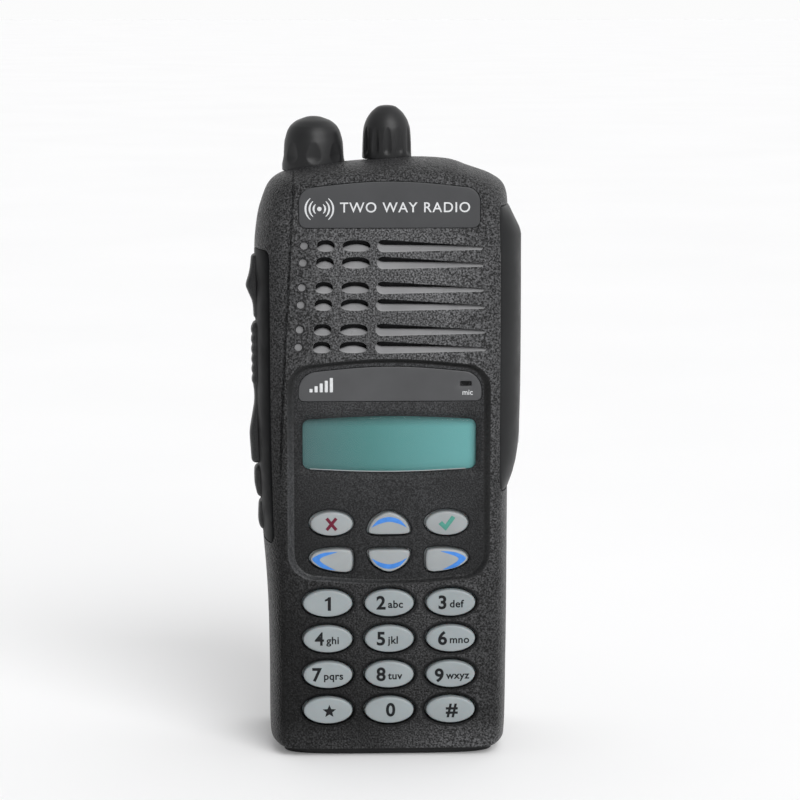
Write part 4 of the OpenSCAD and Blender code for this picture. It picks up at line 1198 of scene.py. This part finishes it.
def cover_height(s, z):
    """How far the cover stands above the body's side."""
    front = min(1, max(0, (s - COVER_S[0]) / 13))
    across = math.sin(front * math.pi / 2) ** 1.3
    back = 1 - 0.12 * max(0, (s - ROUND_S) / 5.5) ** 2
    return float(np.interp(z, COVER_RISE[:, 0], COVER_RISE[:, 1])) * across * back


def accessory_cover():
    def place(s, z, d):
        return on_side(1, s, z, d - cover_height(s, z))

    seat = ellipse(side_s(SCREW_Y), SCREW_Z, 3.3, 3.3, 48)
    hole = pocket(seat, 0.35, fillet(0, 0.7, 1.5))
    scallop = [Feature(rounded(side_s(-8.5), side_s(-1), z, z + 1.2, 0.55), rounded(side_s(-8.2), side_s(-1.3),
               z + 0.3, z + 0.9, 0.25), [(0, 0), (0.3, 0.08), (0.7, 0.3), (1, 0.36)]) for z in np.arange(84, 115, 2.6)]
    cover = slab(place, rounded(*COVER_S, *COVER_Z, 3), [hole] + scallop,
                 ((0.7, 0), (0.35, 0.06), (0.1, 0.22), (0, 0.45)), COVER_DEPTH, 1.0, back=partial(on_side, 1))
    cover.build("accessory_cover_shell", M["cover"], "accessory_cover", "satin_plastic", "accessory_cover")


accessory_cover()


def softened(node, name, materials, body, slot, width=0.15, angle=40):
    """A copy of a CAD node with its edges rounded."""
    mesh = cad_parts[node].data.copy()
    mesh.name = name
    mesh.materials.clear()
    bm = bmesh.new()
    bm.from_mesh(mesh)
    bmesh.ops.remove_doubles(bm, verts=bm.verts, dist=0.001 * MM)
    bmesh.ops.dissolve_limit(bm, angle_limit=math.radians(1), verts=bm.verts, edges=bm.edges)
    sharp = [e for e in bm.edges if len(e.link_faces) == 2 and e.calc_face_angle(0) > math.radians(angle)]
    bmesh.ops.bevel(bm, geom=sharp, offset=width * MM, segments=2, profile=0.5, affect="EDGES", clamp_overlap=True)
    bm.to_mesh(mesh)
    bm.free()
    finish_piece(name, mesh, materials, body, slot, node)


# ---- knobs and the other things on top ----

def knob(name, at, seat, profile, flutes, width, depth, start):
    """A turned knob. Its flutes are cut by upright round-nosed cutters, from a height up to the dome."""
    radius = max(r for r, _ in profile)
    sagitta = depth - (radius - math.sqrt(radius ** 2 - width ** 2 / 4))
    nose = (width ** 2 / 4 + sagitta ** 2) / (2 * sagitta)      # radius of a cutter
    away = radius - depth + nose                                # distance of its axis
    blunt = math.sqrt(nose ** 2 - (away - radius) ** 2) / (width / 2)
    around = flutes * 24
    angles = np.arange(around) * 2 * math.pi / around

    def point(r, a, z):
        return (at[0] + r * math.sin(a), at[1] - r * math.cos(a), seat + z)

    mesh = Mesh()
    rows = []
    for r, z in catmull(profile, 6, closed=False):
        below = max(0, start + width / 2 - z) * blunt
        cut = math.sqrt(max(0, nose ** 2 - below ** 2))
        row = []
        for a in angles:
            turn = (a + math.pi / flutes) % (2 * math.pi / flutes) - math.pi / flutes
            beside = away * math.sin(turn)
            reach = away * math.cos(turn) - math.sqrt(cut ** 2 - beside ** 2) if abs(beside) < cut else r
            row.append(point(min(r, reach), a, z))
        rows.append(row)
    mesh.rings(rows)
    mesh.fan(rows[-1], (at[0], at[1], rows[-1][0][2]))
    # The bore for the shaft and the nut
    bottom = [[point(r, a, z) for a in angles] for r, z in ((4.5, 0.35), (4.5, 2.0), (1.9, 2.0), (1.9, 6))]
    mesh.strip(rows[0], bottom[0])
    mesh.rings(bottom)
    mesh.fan(bottom[-1][::-1], (at[0], at[1], seat + 6))
    mesh.build(name + "_cap", M["knob"], name, "knob_plastic", name, angle=40)


def top_controls():
    knob("volume_knob", VOLUME_AT, VOLUME_SEAT, [(6.7, 0.35), (7.1, 0.55), (7.2, 1), (7.15, 2.8), (6.95, 5), (6.7, 6.8),
         (6.4, 8), (6.05, 9.2), (5.6, 10.1), (5.1, 10.75), (3.9, 11.7), (2, 12.45), (1, 12.68), (0.05, 12.75)],
         8, 4.1, 0.55, 2.2)
    knob("channel_knob", CHANNEL_AT, CHANNEL_SEAT, [(5.25, 0.35), (5.55, 0.5), (5.62, 0.9), (5.6, 3.7), (5.38, 6.8),
         (5.05, 8.2), (4.6, 9.35), (3.95, 10.4), (3.3, 11.15), (2.2, 12.05), (1.2, 12.4), (0.05, 12.5)],
         12, 1.9, 0.42, 1.6)
    button = turned(TOP_BUTTON_AT, [(3.2, 129.9), (3.2, 130.9), (2.5, 130.9), (2.5, 134.6), (2.35, 135), (1.9, 135.2),
                                    (1.4, 135.15), (0.7, 135.08)])
    button.build("top_button_cap", M["orange"], "top_button", "accent_orange", "top_button")
    lamp = turned(LED_AT, [(1.9, 130), (1.9, 130.9), (1.3, 130.9), (1.3, 135.4), (1.1, 135.8), (0.7, 136),
                           (0.3, 136.1)], 48)
    lamp.build("status_lens", M["key_white"], "radio", "lens_clear", "status_led")


top_controls()


# ---- battery ----

BATTERY = ccw(catmull([(0, 0.3), (-15, 0.3), (-24.4, 0.7), (-26.9, 3.6), (-27.5, 12), (-27.6, 50), (-27.6, 96),
                       (-27.4, 109.5), (-25.6, 113.3), (-13, 113.6), (0, 113.6), (13, 113.6), (25.6, 113.3),
                       (27.4, 109.5), (27.6, 96), (27.6, 50), (27.5, 12), (26.9, 3.6), (24.4, 0.7), (15, 0.3)], 8))
BATTERY_Y = (3.3, 19.5)


def battery_case():
    def place(x, z, d):
        return (x, BATTERY_Y[1] - 0.25 * (x / 27) ** 2 - d, z)

    def front(x, z, d):
        return (x, BATTERY_Y[0], z)

    clip = pocket(rounded(-9, 9, 66, 96, 1), 0.4, fillet(0, 0.7, 1.8))
    windows = [pocket(rounded(x - 2, x + 2, 14, 18, 0.4), 0.3, fillet(0, 0.5, 2.2)) for x in (-9, 0, 9)]
    ribs = [Feature(rounded(-17, 17, z, z + 1.5, 0.7), rounded(-16.7, 16.7, z + 0.4, z + 1.1, 0.3),
                    [(0, 0), (0.3, 0.1), (0.7, 0.45), (1, 0.55)]) for z in np.arange(26, 44, 3.2)]
    label = pocket(rounded(-18, 18, 48, 62, 1.2), 0.3, fillet(0, 0.4, 0.3), floor_mark=1)
    rails = [Feature(rounded(x - 0.9, x + 0.9, 20, 104, 0.85), rounded(x - 0.35, x + 0.35, 20.6, 103.4, 0.3),
                     [(0, 0), (0.3, 0.1), (0.7, 0.4), (1, 0.5)]) for x in (-21.5, 21.5)]
    r = 3.4
    edge = [(r - r * math.sin(a), r - r * math.cos(a)) for a in np.linspace(0, math.pi / 2, 9)]
    case = slab(place, resample(BATTERY, 1.2), [clip, label] + windows + ribs + rails, edge, 16.2, 1.6, front).build(
        "battery_shell", [M["housing"], M["plate"]], "battery", "housing_plastic", "battery_case")
    cutters = [box_mesh((-24, 2.5, 6), (24, 5.1, 108)), box_mesh((-40, 2.5, -1), (40, 7.6, 1.9))]
    for side in (-1, 1):
        x = sorted((side * 25.5, side * 30))
        cutters.append(box_mesh((x[0], 7.8, 94.6), (x[1], 14.6, 110.4)))
        x = sorted((side * 21.7, side * 25.6))
        cutters.append(box_mesh((x[0], 2.5, 96), (x[1], 12, 109.6)))
    boolean(case, cutters)


battery_case()


# ---- CAD nodes that stay, with rounded edges or with better materials ----

for node, name, material, body, width in (
        ("chassis", "chassis_frame", "satin", "radio", 0.15),
        ("contact_block", "contact_block_body", "satin", "radio", 0.15),
        ("accessory_connector", "accessory_connector_body", "satin", "radio", 0.12),
        ("accessory_screw", "accessory_screw_head", "steel", "accessory_screw", 0.15),
        ("battery_lid", "battery_front", "satin", "battery", 0.2),
        ("battery_latch_left", "latch_left_pad", "satin", "battery_latch_left", 0.2),
        ("battery_latch_right", "latch_right_pad", "satin", "battery_latch_right", 0.2),
        ("shield_cans", "shield_covers", "steel", "radio", 0.2)):
    softened(node, name, M[material], body, "plated_steel" if material == "steel" else "satin_plastic", width)

KEPT = {
    "keypad_mat": "silicone", "housing_seal": "silicone", "keypad_board": "board", "main_board": "board",
    "side_switch_strip": "board", "speaker": "cast", "microphone": "silicone", "speaker_felt": "felt",
    "volume_switch": "cast", "channel_switch": "cast", "control_nuts": "steel", "chassis_screws": "steel",
    "volume_shaft": "steel", "channel_shaft": "steel", "antenna_bushing": "brass", "radio_contacts": "brass",
    "battery_contacts": "brass", "battery_cells": "wrap"}
for node, material in KEPT.items():
    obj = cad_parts[node]
    obj.data.materials.clear()
    obj.data.materials.append(M[material])


# ---- floor, light and camera ----

def backdrop():
    """A wide pale floor."""
    mesh = bpy.data.meshes.new("floor")
    half = 12
    mesh.from_pydata([(-half, -half, -0.0001), (half, -half, -0.0001), (half, half, -0.0001), (-half, half, -0.0001)],
                     [], [(0, 1, 2, 3)])
    s = Shader("floor_paper", (0.86, 0.86, 0.865), 0.85, Emission_Color=(1, 1, 1, 1), Emission_Strength=0.09)
    s.tint(s.noise(6, 3), 0.985, 1.01)
    mesh.materials.append(s.material)
    floor = bpy.data.objects.new("floor", mesh)
    scene.collection.objects.link(floor)


def aimed(name, data, direction, at=(0, 0, 0)):
    """Puts a light or a camera in the scene, looking along a direction."""
    obj = bpy.data.objects.new(name, data)
    obj.location = at
    obj.rotation_euler = Vector(direction).to_track_quat("-Z", "Y").to_euler()
    scene.collection.objects.link(obj)
    return obj


def lighting():
    """A broad sun from the front right, a soft box near the top, and a pale room that is darker in front."""
    sun = bpy.data.lights.new("sun", "SUN")
    sun.energy, sun.angle = 2.1, math.radians(40)
    aimed("sun", sun, (-0.42, 0.95, -0.75))
    box = bpy.data.lights.new("top_softbox", "AREA")
    box.shape, box.size, box.size_y, box.energy = "RECTANGLE", 0.3, 0.15, 0.12
    aimed("top_softbox", box, (-0.1, 0.3, -0.26), (0.1, -0.3, 0.38))
    world = bpy.data.worlds.new("studio")
    world.use_nodes = True
    tree = world.node_tree
    room = add_node(tree, "ShaderNodeTexCoord").outputs["Generated"]
    turn = add_node(tree, "ShaderNodeMapping", Rotation=(0, 0, math.radians(25)), Vector=room)
    split = add_node(tree, "ShaderNodeSeparateXYZ", Vector=turn.outputs["Vector"])
    strength = add_node(tree, "ShaderNodeMapRange", From_Min=-0.7, From_Max=0.7, To_Min=0.3, To_Max=0.97,
                        Value=split.outputs["Y"])
    background = tree.nodes["Background"].inputs
    background["Color"].default_value = (1, 1, 1, 1)
    tree.links.new(strength.outputs["Result"], background["Strength"])
    scene.world = world


def camera():
    """A view from 10 degrees above and slightly to the left, 0.62 m away."""
    azimuth, elevation, distance = math.radians(-2), math.radians(10), 0.62
    target = Vector((0, -0.006, 0.069))
    back = Vector((math.sin(azimuth) * math.cos(elevation), -math.cos(azimuth) * math.cos(elevation),
                   math.sin(elevation)))
    data = bpy.data.cameras.new("camera")
    data.sensor_width, data.lens, data.clip_start = 36, 120.6, 0.01
    data.shift_x, data.shift_y = 0.0158, 0.0671
    scene.camera = aimed("camera", data, -back, target + back * distance)


backdrop()
lighting()
camera()
scene.view_settings.view_transform = "Standard"
